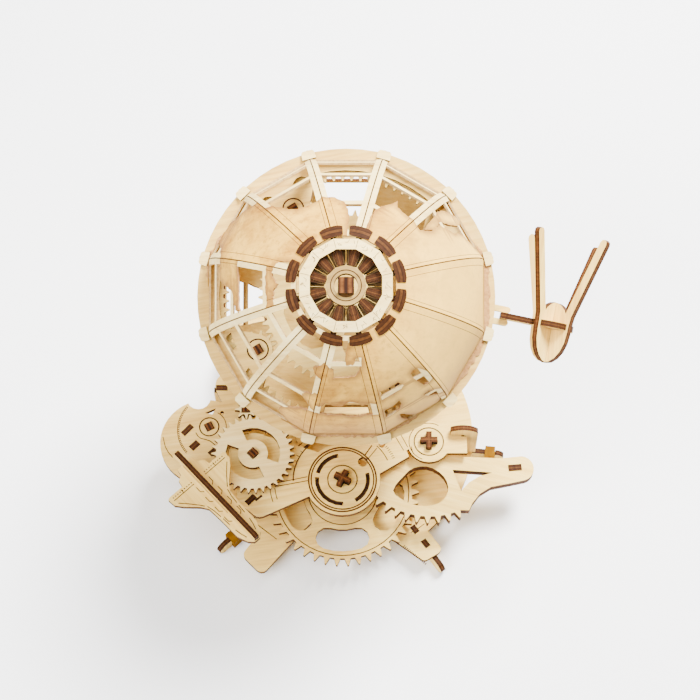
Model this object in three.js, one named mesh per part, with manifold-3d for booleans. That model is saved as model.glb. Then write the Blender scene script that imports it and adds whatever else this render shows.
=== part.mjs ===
// A mechanical globe (orrery) of laser-cut plywood: a hand lever turns a gear train on a round base,
// which turns a tilted globe, and planet gears inside the globe carry a satellite round its equator.
// Millimetres, +Z up, -Y towards the front. Angles are in degrees where a name ends in _DEG.
import * as THREE from 'three';
import { mergeVertices } from 'three/addons/utils/BufferGeometryUtils.js';
import Module from 'manifold-3d';

const wasm = await Module();
wasm.setup();

// ---------------------------------------------------------------- driving dimensions
const PLY = 4; // plywood thickness
const GAP = 0.3; // air between touching pieces
const SQUARE_AXLE = 6; // side of a square axle
const CROSS_AXLE = 12.4; // width of an axle made of two crossed plies
const ORIGIN_SHIFT = [-21, -10.25, 0]; // puts the bottom centre of the whole object's box at the origin

// Height of the underside of each layer
const Z_BASE = 12;
const Z_WHEEL = 20;
const Z_TRANSFER = 28;
const Z_LEVER = 35;
const Z_DECK = 48;
const Z_LEFT_GEAR = 56;
const Z_SHUTTLE = 66;
const Z_AXLE_FOOT = 12.6;
const Z_AXLE_TOP = 57;
const Z_SMALL_AXLE_TOP = 62.8;

// Base and its feet
const BASE_R = 98.5;
const FOOT_IN = 84;
const FOOT_OUT = 127;
const FOOT_TENON = 6;
const FOOT_TENONS = [88, 101.5];
const BAND_R = 112;
const BAND_WIDTH = 8;
const BAND_WALL = 2.5;
const FEET = [
  { name: 'front_left', angle: -136.5, band: true, tenons: 1 },
  { name: 'front_right', angle: -54, band: false, tenons: 2 },
  { name: 'right', angle: -5.7, band: true, tenons: 1, out: 122.5 },
  { name: 'left', angle: -176, band: true, tenons: 1 },
  { name: 'rear', angle: 90, band: false, tenons: 1 },
];

// Gears: number of teeth and module (pitch diameter per tooth)
const SECTOR = { teeth: 46, module: 2.5 };
const DIAL_PINION = { teeth: 10, module: 2.5 };
const BIG_WHEEL = { teeth: 42, module: 2.6 };
const LEFT_PINION = { teeth: 10, module: 2.6 };
const LEFT_GEAR = { teeth: 34, module: 1.7 };
const UPPER_PINION = { teeth: 8, module: 1.7 };
const TRANSFER_GEAR = { teeth: 18, module: 2 };
const DRIVE_GEAR = { teeth: 42, module: 2 };
const DRIVE_PINION = { teeth: 8, module: 2.5 };
const GLOBE_GEAR = { teeth: 32, module: 2.5 };
const SUN = { teeth: 60, module: 1.9 };
const PLANET = { teeth: 12, module: 1.9 };
const RING = { teeth: 84, module: 1.9 };

// Lever sector
const SECTOR_FIRST_DEG = -164;
const SECTOR_LAST_DEG = -64;
const LEVER_THICK = 7.6;
const CAP_R = 11;
const DIAL_TURN_DEG = -27;
const LEFT_TURN_DEG = 45;

// Globe
const GLOBE_CENTRE = [3, 24, 216];
const TILT_DEG = 20;
const GORES = 12;
const SKIN_R = 94.5;
const SKIN_THICK = 1.5;
const RIB_OUT = 92;
const RIB_IN = 84.5;
const EQUATOR_IN = 84.5;
const EQUATOR_OUT = 99;
const LUG_R = 4.8;
const Z_EQUATOR = 1;
const Z_RING = -3.4;
const Z_LOWER_PLATE = -7.8;
const BAR_LATITUDES = [3.4, 22, 38, 54, 70];
const BAR_HALF = 1.1;
const STRIP = 4.5;
const HUB_R = 12.5;
const HUB_HOLE = 7.5;
const HUB_TOP = 90;
const POLAR_BAND = [23, 30];
const GLOBE_AXLE = 10;
const AXLE_TOP = 93;
const AXLE_BOTTOM = -123;
const GLOBE_GEAR_Z = -106;
const PLANET_ANGLES_DEG = [31, 121, 211, 301];

// Satellite on the orbit ring
const ORBIT_DEG = -11.7;
const ORBIT_R = 137.9;
const ORBIT_RING_OUT = 97;
const ARM_IN = 103;
const PRONG_OUT = 109;
const PRONG_WIDTH = 4.1;
const ARM_OFFSET = 9;
const SATELLITE_BODY = { centre: 4.5, halfWidth: 15.7, halfLength: 20.5 };
const SATELLITE_DISC_R = 14.6;
const SATELLITE_CORE_R = 9;

const rad = THREE.MathUtils.degToRad;
const TILT = rad(TILT_DEG);

// ---------------------------------------------------------------- materials
const timber = (name, color, roughness = 0.7) =>
  new THREE.MeshStandardMaterial({ name, color, roughness, metalness: 0 });
const birch = () => timber('birch_ply', 0xead3a6);
const printed = () => timber('printed_ply', 0xd9ae85);
const burnt = () => timber('burnt_ply', 0x6b3a22, 0.8);
const amber = () => timber('amber_rubber', 0xd99a16, 0.45);

// ---------------------------------------------------------------- outlines (arrays of Vector2)
const vec = (x, y) => new THREE.Vector2(x, y);
const polar = (r, angle, cx = 0, cy = 0) => vec(cx + r * Math.cos(angle), cy + r * Math.sin(angle));

function arc(r, from, to, steps, cx = 0, cy = 0) {
  const points = [];
  for (let i = 0; i <= steps; i += 1) {
    points.push(polar(r, from + ((to - from) * i) / steps, cx, cy));
  }
  return points;
}

const circle = (r, cx = 0, cy = 0, steps = 20) => arc(r, 0, 2 * Math.PI, steps, cx, cy).slice(0, -1);

const rectangle = (x0, y0, x1, y1) => [vec(x0, y0), vec(x1, y0), vec(x1, y1), vec(x0, y1)];

const square = (side) => rectangle(-side / 2, -side / 2, side / 2, side / 2);

function cross(width, thick) {
  const w = width / 2;
  const t = thick / 2;
  const corner = [vec(w, -t), vec(w, t), vec(t, t)];
  const points = [];
  for (let i = 0; i < 4; i += 1) {
    corner.forEach((p) => points.push(p.clone().rotateAround(vec(0, 0), (i * Math.PI) / 2)));
  }
  return points;
}

// Convex outline round a set of circles [x, y, r]
function hull(circles, steps = 16) {
  const points = circles.flatMap(([x, y, r]) => circle(r, x, y, steps));
  points.sort((a, b) => a.x - b.x || a.y - b.y);
  const turn = (o, a, b) => (a.x - o.x) * (b.y - o.y) - (a.y - o.y) * (b.x - o.x);
  const half = (list) => {
    const chain = [];
    for (const p of list) {
      while (chain.length > 1 && turn(chain.at(-2), chain.at(-1), p) <= 1e-9) {
        chain.pop();
      }
      chain.push(p);
    }
    return chain.slice(0, -1);
  };
  return [...half(points), ...half([...points].reverse())];
}

// Smooth closed curve through a few points
function blob(points, divisions = 24) {
  const curve = new THREE.CatmullRomCurve3(points.map(([x, y]) => new THREE.Vector3(x, y, 0)), true);
  return curve.getPoints(divisions).slice(0, -1).map((p) => vec(p.x, p.y));
}

// Bent slot from angle a to angle b between two radii
function arcSlot(inner, outer, a, b, steps = 6) {
  return [...arc(outer, a, b, steps), ...arc(inner, b, a, steps)];
}

const pitchR = (gear) => (gear.teeth * gear.module) / 2;

const ADDENDUM = 0.85;
const DEDENDUM = 1.15;

// Toothed outline; "phase" is the angle of one tooth's middle. "root" and "tip" are the tooth's widths there
// as shares of the pitch.
function toothed(gear, phase, options = {}) {
  const { first = 0, count = gear.teeth, root = 0.6, tip = 0.12, internal = false } = options;
  const pitch = (2 * Math.PI) / gear.teeth;
  const side = internal ? -1 : 1;
  const rTip = pitchR(gear) + side * ADDENDUM * gear.module;
  const rRoot = pitchR(gear) - side * DEDENDUM * gear.module;
  const points = [];
  for (let i = first; i < first + count; i += 1) {
    const middle = phase + i * pitch;
    points.push(polar(rRoot, middle - (root * pitch) / 2));
    points.push(polar(rTip, middle - (tip * pitch) / 2));
    points.push(polar(rTip, middle + (tip * pitch) / 2));
    points.push(polar(rRoot, middle + (root * pitch) / 2));
  }
  return points;
}

// Phase of gear b that meshes with gear a, whose centre lies in the direction "towards" from a
function meshPhase(a, phaseA, b, towards) {
  return towards + Math.PI - Math.PI / b.teeth + ((towards - phaseA) * a.teeth) / b.teeth;
}

// ---------------------------------------------------------------- solids
function prism(outline, low, high, holes = []) {
  const shape = new THREE.Shape(outline);
  shape.holes = holes.map((hole) => new THREE.Path(hole));
  const geometry = new THREE.ExtrudeGeometry(shape, { depth: high - low, bevelEnabled: false });
  return geometry.translate(0, 0, low);
}

// A plate that stands upright: outline x is the radius and outline y the height
function upright(outline, thick, holes = []) {
  return prism(outline, -thick / 2, thick / 2, holes).rotateX(Math.PI / 2);
}

function solid(geometry) {
  const bare = geometry.clone();
  bare.deleteAttribute('normal');
  bare.deleteAttribute('uv');
  const merged = mergeVertices(bare, 1e-4);
  return new wasm.Manifold(new wasm.Mesh({
    numProp: 3,
    vertProperties: new Float32Array(merged.attributes.position.array),
    triVerts: new Uint32Array(merged.index.array),
  }));
}

const joined = (...geometries) => geometries.map(solid).reduce((a, b) => a.add(b));
const cut = (body, ...tools) => tools.map(solid).reduce((a, b) => a.subtract(b), body);

function geometryOf(body) {
  const data = body.getMesh();
  const geometry = new THREE.BufferGeometry();
  geometry.setAttribute('position', new THREE.BufferAttribute(new Float32Array(data.vertProperties), 3));
  geometry.setIndex(new THREE.BufferAttribute(new Uint32Array(data.triVerts), 1));
  geometry.computeVertexNormals();
  return geometry;
}

function piece(name, shape, material, position = [0, 0, 0], turn = 0) {
  const geometry = shape.isBufferGeometry ? shape : geometryOf(shape);
  const mesh = new THREE.Mesh(geometry, material);
  mesh.name = name;
  mesh.position.set(...position);
  mesh.rotation.z = turn;
  return mesh;
}

// ---------------------------------------------------------------- shaft places
const spread = (a, b) => pitchR(a) + pitchR(b);
const DIAL = vec(0, -47);
const LEVER_DIRECTION = rad(24.8);
const LEVER = polar(spread(SECTOR, DIAL_PINION), LEVER_DIRECTION, DIAL.x, DIAL.y);
const LEFT_DIRECTION = rad(165.3);
const LEFT = polar(spread(BIG_WHEEL, LEFT_PINION), LEFT_DIRECTION, DIAL.x, DIAL.y);
const DRIVE = vec(
  GLOBE_CENTRE[0] - spread(GLOBE_GEAR, DRIVE_PINION),
  GLOBE_CENTRE[1] - GLOBE_GEAR_Z * Math.sin(TILT),
);
const UPPER = circlesMeet(LEFT, spread(LEFT_GEAR, UPPER_PINION), DRIVE, spread(TRANSFER_GEAR, DRIVE_GEAR));
const WASHER = vec(-98.5, -6);
const POSTS = [
  { name: 'front', at: vec(-66.6, -62.6), turn: rad(45) },
  { name: 'left', at: vec(-94.5, -25), turn: rad(42) },
  { name: 'rear', at: vec(-90, 25), turn: 0 },
];

// Point at distance ra from a and rb from b, on the left of the line from a to b
function circlesMeet(a, ra, b, rb) {
  const line = b.clone().sub(a);
  const along = (ra * ra - rb * rb + line.lengthSq()) / (2 * line.length());
  const aside = Math.sqrt(ra * ra - along * along);
  const unit = line.normalize();
  return vec(a.x + unit.x * along - unit.y * aside, a.y + unit.y * along + unit.x * aside);
}

const direction = (a, b) => Math.atan2(b.y - a.y, b.x - a.x);

// ---------------------------------------------------------------- tooth phases at rest
const PITCH_SECTOR = (2 * Math.PI) / SECTOR.teeth;
const PHASE_SECTOR = rad(SECTOR_LAST_DEG) - PITCH_SECTOR / 2;
const PHASE_DIAL_PINION = meshPhase(SECTOR, PHASE_SECTOR, DIAL_PINION, direction(LEVER, DIAL));
const PHASE_LEFT_PINION = meshPhase(BIG_WHEEL, 0, LEFT_PINION, direction(DIAL, LEFT));
const PHASE_UPPER = meshPhase(LEFT_GEAR, 0, UPPER_PINION, direction(LEFT, UPPER));
const PHASE_DRIVE_GEAR = meshPhase(TRANSFER_GEAR, 0, DRIVE_GEAR, direction(UPPER, DRIVE));
const PHASE_GLOBE_GEAR = meshPhase(DRIVE_PINION, 0, GLOBE_GEAR, 0);

// ---------------------------------------------------------------- base
function basePlate() {
  const notch = [vec(31.4, -77), vec(19.6, -67), vec(0, -60), vec(-22, -67), vec(-31.5, -77)];
  const leftArm = [
    ...arc(5, rad(-48), rad(-138), 4, -59.5, -101.5),
    ...arc(5, rad(-138), rad(-228), 4, -68, -93),
  ];
  const rim = arc(BASE_R, rad(231), rad(-40), 54);
  const rightArm = [vec(63.3, -74.8), ...arc(4, rad(30), rad(-60), 4, 68.6, -88.6),
    ...arc(4, rad(-50), rad(-125), 4, 60.5, -93.5)];
  const outline = [...notch, ...leftArm, ...rim, ...rightArm];
  let body = solid(prism(outline.reverse(), Z_BASE, Z_BASE + PLY));
  for (const at of [DIAL, LEVER]) {
    body = cut(body, prism(circle(CROSS_AXLE / 2 + 0.7, at.x, at.y), 0, Z_WHEEL));
  }
  for (const at of [LEFT, UPPER, DRIVE]) {
    body = cut(body, prism(circle(SQUARE_AXLE / 2 + 1.6, at.x, at.y, 16), 0, Z_WHEEL));
  }
  for (const foot of FEET) {
    for (const start of FOOT_TENONS.slice(0, foot.tenons)) {
      const half = PLY / 2 + GAP;
      const slot = prism(rectangle(start - GAP, -half, start + FOOT_TENON + GAP, half), 0, Z_WHEEL);
      body = cut(body, slot.rotateZ(rad(foot.angle)));
    }
  }
  return piece('base_plate', body, birch());
}

function foot({ name, angle, band, tenons, out = FOOT_OUT }) {
  const top = Z_BASE - GAP;
  const waist = BAND_WALL + GAP;
  const end = 6;
  const lower = [vec(FOOT_IN, 0), vec(BAND_R - BAND_WIDTH / 2, 0), vec(BAND_R - BAND_WIDTH / 2, waist),
    vec(BAND_R + BAND_WIDTH / 2, waist), vec(BAND_R + BAND_WIDTH / 2, 0)];
  const tip = arc(end, rad(-90), rad(90), 8, out - end, end);
  const upper = [vec(BAND_R + BAND_WIDTH / 2, top), vec(BAND_R + BAND_WIDTH / 2, top - waist),
    vec(BAND_R - BAND_WIDTH / 2, top - waist), vec(BAND_R - BAND_WIDTH / 2, top)];
  const outline = band ? [...lower, ...tip, ...upper] : [vec(FOOT_IN, 0), ...tip];
  for (const start of FOOT_TENONS.slice(0, tenons).reverse()) {
    outline.push(vec(start + FOOT_TENON, top), vec(start + FOOT_TENON, Z_BASE + PLY));
    outline.push(vec(start, Z_BASE + PLY), vec(start, top));
  }
  outline.push(vec(FOOT_IN, top));
  return piece(`foot_${name}`, upright(outline, PLY), birch(), [0, 0, 0], rad(angle));
}

function footBand({ name, angle }) {
  const half = PLY / 2 + GAP;
  const outer = rectangle(-half - BAND_WALL, 0, half + BAND_WALL, Z_BASE - GAP);
  const inner = rectangle(-half, BAND_WALL, half, Z_BASE - GAP - BAND_WALL);
  const width = BAND_WIDTH / 2 - GAP;
  const ring = prism(outer, -width, width, [inner]).rotateX(Math.PI / 2).rotateZ(Math.PI / 2);
  return piece(`foot_band_${name}`, ring.translate(BAND_R, 0, 0), amber(), [0, 0, 0], rad(angle));
}

// ---------------------------------------------------------------- deck plates over the gear train
const deck = (outline, holes = []) => prism(outline, Z_DECK, Z_DECK + PLY, holes);
const through = (outline) => prism(outline, Z_DECK - PLY, Z_DECK + 2 * PLY);

const SEASON_LOBE = [[DIAL.x - 14, DIAL.y + 6, 13], [-60, -70, 6], [-70, -61, 6.5], [LEFT.x, LEFT.y + 6, 13]];
const SEASON_LEFT = [LEFT.x, LEFT.y, 19];

function postSlot(post, clearance = 0) {
  const slot = rectangle(-4 - clearance, -PLY / 2 - clearance, 4 + clearance, PLY / 2 + clearance);
  return slot.map((p) => p.rotateAround(vec(0, 0), post.turn).add(post.at));
}

function seasonPlate() {
  const bossR = 27.5;
  const band = [
    ...arc(52, rad(20), rad(100), 10, DIAL.x, DIAL.y),
    ...arc(20, rad(100), rad(0), 3, DIAL.x, DIAL.y),
  ];
  let body = joined(
    deck(circle(bossR, DIAL.x, DIAL.y, 40)),
    deck(hull(SEASON_LOBE)),
    deck(circle(SEASON_LEFT[2], SEASON_LEFT[0], SEASON_LEFT[1])),
    deck(band),
    deck([vec(24, -40), vec(50.5, -22.3), vec(54, -6), vec(40, 8), vec(10, -22)]),
    deck(circle(16, LEVER.x, LEVER.y, 28)),
    deck(rectangle(LEVER.x + 8, LEVER.y - 9, LEVER.x + 28, LEVER.y + 4)),
    deck(rectangle(LEVER.x + 4, LEVER.y + 2, LEVER.x + 24, LEVER.y + 10)),
  );
  const holes = [circle(CAP_R + GAP, DIAL.x, DIAL.y, 28), circle(CAP_R + GAP, LEVER.x, LEVER.y, 28),
    circle(SQUARE_AXLE / 2 + 1.6, LEFT.x, LEFT.y, 16), circle(3.8, 15, DIAL.y + 13.6, 10),
    circle(2.5, 29, -20, 8), postSlot(POSTS[0], GAP)];
  for (const [from, to] of [[100, 165], [175, 272], [-60, 15]]) {
    const slot = arcSlot(17.2, 20.2, rad(from), rad(to));
    holes.push(slot.map((p) => p.add(DIAL)));
  }
  return piece('season_plate', cut(body, ...holes.map(through)), birch());
}

function leftPlate() {
  const rim = circle(33, -101.4, -17.6, 44);
  let body = joined(
    deck(rim),
    deck(hull([[WASHER.x, WASHER.y, 17], [UPPER.x, UPPER.y, 13]])),
    deck(hull([[UPPER.x, UPPER.y, 13], [-84, 27, 11]])),
  );
  const keepOut = [hull(SEASON_LOBE.map(([x, y, r]) => [x, y, r + GAP])),
    circle(SEASON_LEFT[2] + GAP, SEASON_LEFT[0], SEASON_LEFT[1]),
    circle(9, -107, 17, 16),
    circle(SQUARE_AXLE / 2 + 1.6, UPPER.x, UPPER.y, 16),
    circle(1.5, -89.2, 5, 8),
    [vec(-102, 5), vec(-94, 8.6), vec(-96.5, 3.8)],
    ...POSTS.slice(1).map((post) => postSlot(post, GAP))];
  return piece('left_plate', cut(body, ...keepOut.map(through)), birch());
}

// Upright stay with a tenon through the deck
function deckPost(post) {
  const low = Z_BASE + PLY + GAP;
  const high = Z_DECK - GAP;
  const outline = [vec(-6, low), vec(6, low), vec(6, high), vec(4, high), vec(4, Z_DECK + PLY),
    vec(-4, Z_DECK + PLY), vec(-4, high), vec(-6, high)];
  const place = [post.at.x, post.at.y, 0];
  return piece(`deck_post_${post.name}`, upright(outline, PLY), burnt(), place, post.turn);
}

// Upright hook that grips the right end of the season plate
function hookClamp() {
  const low = Z_BASE + PLY + GAP;
  const bow = arc(13, rad(28), rad(133), 8, 4.5, Z_DECK + 1.5);
  const outline = [vec(4, low), vec(16, low), ...bow,
    vec(-4.4, Z_DECK + PLY + GAP), vec(6, Z_DECK + PLY + GAP),
    vec(6, Z_DECK - GAP), vec(4, Z_DECK - GAP)];
  return piece('hook_clamp', upright(outline, PLY), birch(), [LEVER.x + 20.3, LEVER.y + 7, 0]);
}

// ---------------------------------------------------------------- lever and gear train
function leverSector() {
  const count = Math.round((SECTOR_LAST_DEG - SECTOR_FIRST_DEG) / 360 * SECTOR.teeth);
  const teeth = toothed(SECTOR, PHASE_SECTOR, { first: 1 - count, count });
  const handle = [vec(29, -50), vec(31.5, -44.5), vec(37.2, -37.2), vec(45.4, -32), vec(60, -29),
    ...arc(9.5, rad(-75), rad(85), 10, 68, -17.5), vec(53.6, -9.7), vec(26, -8.6)];
  const boss = arc(15, rad(-20), rad(170), 12);
  const outline = [...teeth, ...handle, ...boss];
  const kidney = blob([[-26.4, -34.8], [-19, -24], [-11.9, -17.6], [-0.7, -16.2], [10, -22.5], [14.1, -31.6],
    [11.5, -41], [3, -46], [-8, -46.5], [-20.8, -41.3]]);
  const crescent = [vec(17.5, -18.6), vec(23.5, -35), vec(29.5, -28.5), vec(37, -23.8), vec(46.9, -20.8)];
  const tenonAt = vec(63.6, -17);
  const tenon = rectangle(tenonAt.x - 5, tenonAt.y - 2.6, tenonAt.x + 5, tenonAt.y + 2.6)
    .map((p) => p.rotateAround(tenonAt, rad(5)));
  const holes = [kidney, crescent, tenon, crossBore()];
  const shape = prism(outline, Z_LEVER, Z_LEVER + LEVER_THICK, holes);
  return piece('lever_sector', shape, birch(), [LEVER.x, LEVER.y, 0]);
}

function leverShaft() {
  const cap = deck(circle(CAP_R, 0, 0, 28));
  return piece('lever_shaft', joined(crossBar(Z_AXLE_FOOT, Z_AXLE_TOP), cap), burnt(), [LEVER.x, LEVER.y, 0]);
}

function dialShaft() {
  const bar = crossBar(Z_AXLE_FOOT, Z_AXLE_TOP, rad(DIAL_TURN_DEG));
  const pinion = prism(toothed(DIAL_PINION, PHASE_DIAL_PINION), Z_LEVER, Z_LEVER + LEVER_THICK);
  return piece('dial_shaft', joined(bar, pinion), burnt(), [DIAL.x, DIAL.y, 0]);
}

function dialCap() {
  const shape = deck(circle(CAP_R, 0, 0, 28), [crossBore(rad(DIAL_TURN_DEG))]);
  return piece('dial_cap', shape, birch(), [DIAL.x, DIAL.y, 0]);
}

// Rounded windows in a wheel between two radii, each "half" degrees to either side of its middle
function windows(inner, outer, count, half, offset = 0) {
  const list = [];
  for (let i = 0; i < count; i += 1) {
    const middle = offset + (i * 2 * Math.PI) / count;
    const r = (outer - inner) / 2;
    const ends = [middle - rad(half), middle + rad(half)].map((a) => polar(inner + r, a));
    const outside = arc(outer, middle - rad(half), middle + rad(half), 4);
    const inside = arc(inner, middle + rad(half), middle - rad(half), 3);
    const far = arc(r, middle + rad(half), middle + rad(half) + Math.PI, 5, ends[1].x, ends[1].y);
    const start = middle - rad(half);
    const near = arc(r, start + Math.PI, start + 2 * Math.PI, 5, ends[0].x, ends[0].y);
    list.push([...outside, ...far.slice(1, -1), ...inside, ...near.slice(1, -1)]);
  }
  return list;
}

function bigWheel() {
  const holes = [...windows(29.5, 46, 5, 18, rad(-90)), crossBore(rad(DIAL_TURN_DEG))];
  const shape = prism(toothed(BIG_WHEEL, 0), Z_WHEEL, Z_WHEEL + PLY, holes);
  return piece('big_wheel', shape, birch(), [DIAL.x, DIAL.y, 0]);
}

const turned = (outline, angle) => outline.map((p) => p.rotateAround(vec(0, 0), angle));
const squareBore = (angle = 0) => turned(square(SQUARE_AXLE + 2 * GAP), angle);
const squareBar = (low, high, angle = 0) => prism(turned(square(SQUARE_AXLE), angle), low, high);
const crossBore = (angle = 0) => turned(cross(CROSS_AXLE + 2 * GAP, PLY + 2 * GAP), angle);
const crossBar = (low, high, angle = 0) => prism(turned(cross(CROSS_AXLE, PLY), angle), low, high);

function leftShaft() {
  const pinion = prism(toothed(LEFT_PINION, PHASE_LEFT_PINION), Z_WHEEL, Z_WHEEL + PLY);
  const body = joined(squareBar(Z_AXLE_FOOT, Z_SMALL_AXLE_TOP, rad(LEFT_TURN_DEG)), pinion);
  return piece('left_shaft', body, burnt(), [LEFT.x, LEFT.y, 0]);
}

function leftGear() {
  const slots = [47, 227].map((middle) => arcSlot(11, 20, rad(middle - 68), rad(middle + 68), 8));
  const holes = [...slots, squareBore(rad(LEFT_TURN_DEG))];
  const shape = prism(toothed(LEFT_GEAR, 0), Z_LEFT_GEAR, Z_LEFT_GEAR + PLY, holes);
  return piece('left_gear', shape, birch(), [LEFT.x, LEFT.y, 0]);
}

function upperPinion() {
  const shape = prism(toothed(UPPER_PINION, PHASE_UPPER), Z_LEFT_GEAR, Z_LEFT_GEAR + PLY, [squareBore()]);
  return piece('upper_pinion', shape, birch(), [UPPER.x, UPPER.y, 0]);
}

function transferShaft() {
  const gear = prism(toothed(TRANSFER_GEAR, 0), Z_TRANSFER, Z_TRANSFER + PLY);
  const body = joined(squareBar(Z_AXLE_FOOT, Z_SMALL_AXLE_TOP), gear);
  return piece('transfer_shaft', body, burnt(), [UPPER.x, UPPER.y, 0]);
}

function driveGear() {
  const holes = [squareBore()];
  const shape = prism(toothed(DRIVE_GEAR, PHASE_DRIVE_GEAR), Z_TRANSFER, Z_TRANSFER + PLY, holes);
  return piece('drive_gear', shape, birch(), [DRIVE.x, DRIVE.y, 0]);
}

const GLOBE_GEAR_WORLD_Z = GLOBE_CENTRE[2] + GLOBE_GEAR_Z * Math.cos(TILT);

function driveShaft() {
  const half = 5;
  const [low, high] = [GLOBE_GEAR_WORLD_Z - half, GLOBE_GEAR_WORLD_Z + half];
  const pinion = prism(toothed(DRIVE_PINION, 0, { root: 0.5, tip: 0.2 }), low, high);
  const body = joined(squareBar(Z_AXLE_FOOT, high), pinion);
  return piece('drive_shaft', body, burnt(), [DRIVE.x, DRIVE.y, 0]);
}

// ---------------------------------------------------------------- mast that carries the globe
const MAST_TOP = AXLE_BOTTOM - 1;
const tilted = (w, z) => vec(
  GLOBE_CENTRE[1] + w * Math.cos(TILT) - z * Math.sin(TILT),
  GLOBE_CENTRE[2] + w * Math.sin(TILT) + z * Math.cos(TILT),
);

function mastPlate(side, x) {
  const low = Z_BASE + PLY + GAP;
  const outline = [vec(36, low), vec(94, low), tilted(14, MAST_TOP - GAP), tilted(-14, MAST_TOP - GAP)];
  const window = [vec(50, low + 12), vec(80, low + 12), vec(73, 82), vec(58, 78)];
  const shape = prism(outline, -PLY / 2, PLY / 2, [window]).rotateX(Math.PI / 2).rotateZ(Math.PI / 2);
  return piece(`mast_${side}`, shape, birch(), [GLOBE_CENTRE[0] + x, 0, 0]);
}

// Block on the mast that holds the globe's axle, with an arm that steadies the drive shaft
function bearingBlock() {
  const height = 12;
  const half = 12;
  const outline = [tilted(14, MAST_TOP), tilted(14, MAST_TOP + height), tilted(-14, MAST_TOP + height),
    tilted(-14, MAST_TOP)];
  const block = prism(outline, -half, half).rotateX(Math.PI / 2).rotateZ(Math.PI / 2);
  block.translate(GLOBE_CENTRE[0], 0, 0);
  const armZ = 101;
  const arm = prism(hull([[GLOBE_CENTRE[0] - 9, DRIVE.y + 2, 5], [DRIVE.x, DRIVE.y, 8]]), armZ, armZ + PLY);
  const axleHole = prism(square(GLOBE_AXLE + 2 * GAP), AXLE_BOTTOM - GAP, MAST_TOP + 2 * height)
    .rotateX(TILT).translate(...GLOBE_CENTRE);
  const shaftHole = prism(circle(SQUARE_AXLE / 2 + 1.6, DRIVE.x, DRIVE.y, 16), armZ - 1, armZ + PLY + 1);
  return piece('bearing_block', cut(joined(block, arm), axleHole, shaftHole), birch());
}

// ---------------------------------------------------------------- shuttle on the left plate
const SHUTTLE_NOSE = vec(-60, -99);
const SHUTTLE_HEADING = rad(-47);

function shuttleWing() {
  const side = [[-0.5, 2.4], [-4, 6], [-12, 9], [-30, 9.3], [-41, 10], [-46, 13.2], [-55, 22.5], [-60, 26.4],
    [-66, 27], [-67, 25.5], [-67, 13], [-72, 12], [-74, 8], [-79, 7]];
  const right = side.map(([u, v]) => vec(u, v));
  const left = side.map(([u, v]) => vec(u, -v)).reverse();
  const slotHalf = PLY / 2 + GAP;
  const tail = [vec(-79, slotHalf), vec(-30, slotHalf), vec(-30, -slotHalf), vec(-79, -slotHalf)];
  const outline = [...right, ...tail, ...left].reverse();
  const shape = prism(outline, Z_SHUTTLE, Z_SHUTTLE + PLY);
  return piece('shuttle_wing', shape, birch(), [SHUTTLE_NOSE.x, SHUTTLE_NOSE.y, 0], SHUTTLE_HEADING);
}

function shuttleKeel() {
  const top = Z_SHUTTLE + PLY;
  const outline = [vec(-1, top + GAP), vec(-1, top + 5), vec(-4, top + 6), vec(-88, top + 6),
    vec(-88, top + 2),
    vec(-81, top - 8), vec(-81, Z_DECK + PLY + GAP), vec(-69, Z_DECK + PLY + GAP),
    vec(-64, Z_SHUTTLE - 5), vec(-34, Z_SHUTTLE - 3), vec(-30 - GAP, Z_SHUTTLE), vec(-30 - GAP, top + GAP)];
  const shape = upright(outline.reverse(), PLY);
  return piece('shuttle_keel', shape, burnt(), [SHUTTLE_NOSE.x, SHUTTLE_NOSE.y, 0], SHUTTLE_HEADING);
}

// ---------------------------------------------------------------- globe, built about its own upright axis
const goreAngle = (i) => (i * 2 * Math.PI) / GORES;
const ribAngle = (i) => goreAngle(i + 0.5);
const onSphere = (r, latitude) => vec(r * Math.cos(latitude), r * Math.sin(latitude));

function globeAxle() {
  const shape = prism(square(GLOBE_AXLE), AXLE_BOTTOM, AXLE_TOP);
  return piece('globe_axle', shape, burnt());
}

function sunGear() {
  const holes = [...windows(20, 43, 4, 16, rad(31)), square(GLOBE_AXLE + 2 * GAP)];
  return piece('sun_gear', prism(toothed(SUN, 0), Z_RING, Z_RING + PLY, holes), birch());
}

// Ring plate with four seats that reach in over the planet gears
function seatedRing(low, high) {
  const parts = [prism(circle(EQUATOR_OUT, 0, 0, 60), low, high, [circle(EQUATOR_IN, 0, 0, 48)])];
  const moons = [];
  const planetR = spread(SUN, PLANET);
  for (const degrees of PLANET_ANGLES_DEG) {
    const seat = hull([[planetR, 0, 10], [84, 22, 4.5], [84, -22, 4.5], [90, 0, 4]]);
    parts.push(prism(seat, low, high).rotateZ(rad(degrees)));
    for (const aside of [-9.3, 9.3]) {
      const moon = arc(6, rad(-90), rad(90), 5);
      moons.push(prism(moon, low - 1, high + 1).translate(80, 0, 0).rotateZ(rad(degrees + aside)));
    }
  }
  return cut(joined(...parts), ...moons);
}

function equatorPlate() {
  let body = seatedRing(Z_EQUATOR, Z_EQUATOR + PLY);
  for (let i = 0; i < GORES; i += 1) {
    const lug = prism(circle(LUG_R, EQUATOR_OUT - 2.6, 0, 12), Z_EQUATOR, Z_EQUATOR + PLY);
    body = body.add(solid(lug.rotateZ(ribAngle(i))));
  }
  for (const degrees of PLANET_ANGLES_DEG) {
    const pinFoot = Z_LOWER_PLATE + PLY + GAP;
    const pin = prism(circle(2.6, spread(SUN, PLANET), 0, 10), pinFoot, Z_EQUATOR + PLY + 1.5);
    body = body.add(solid(pin.rotateZ(rad(degrees))));
  }
  return piece('equator_plate', body, birch());
}

function planet(i) {
  const degrees = PLANET_ANGLES_DEG[i];
  const ownPhase = meshPhase(SUN, 0, PLANET, rad(degrees));
  const at = polar(spread(SUN, PLANET), rad(degrees));
  const shape = prism(toothed(PLANET, ownPhase), Z_RING, Z_RING + PLY, [circle(3, 0, 0, 10)]);
  return piece(`planet_gear_${i + 1}`, shape, birch(), [at.x, at.y, 0]);
}

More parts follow.
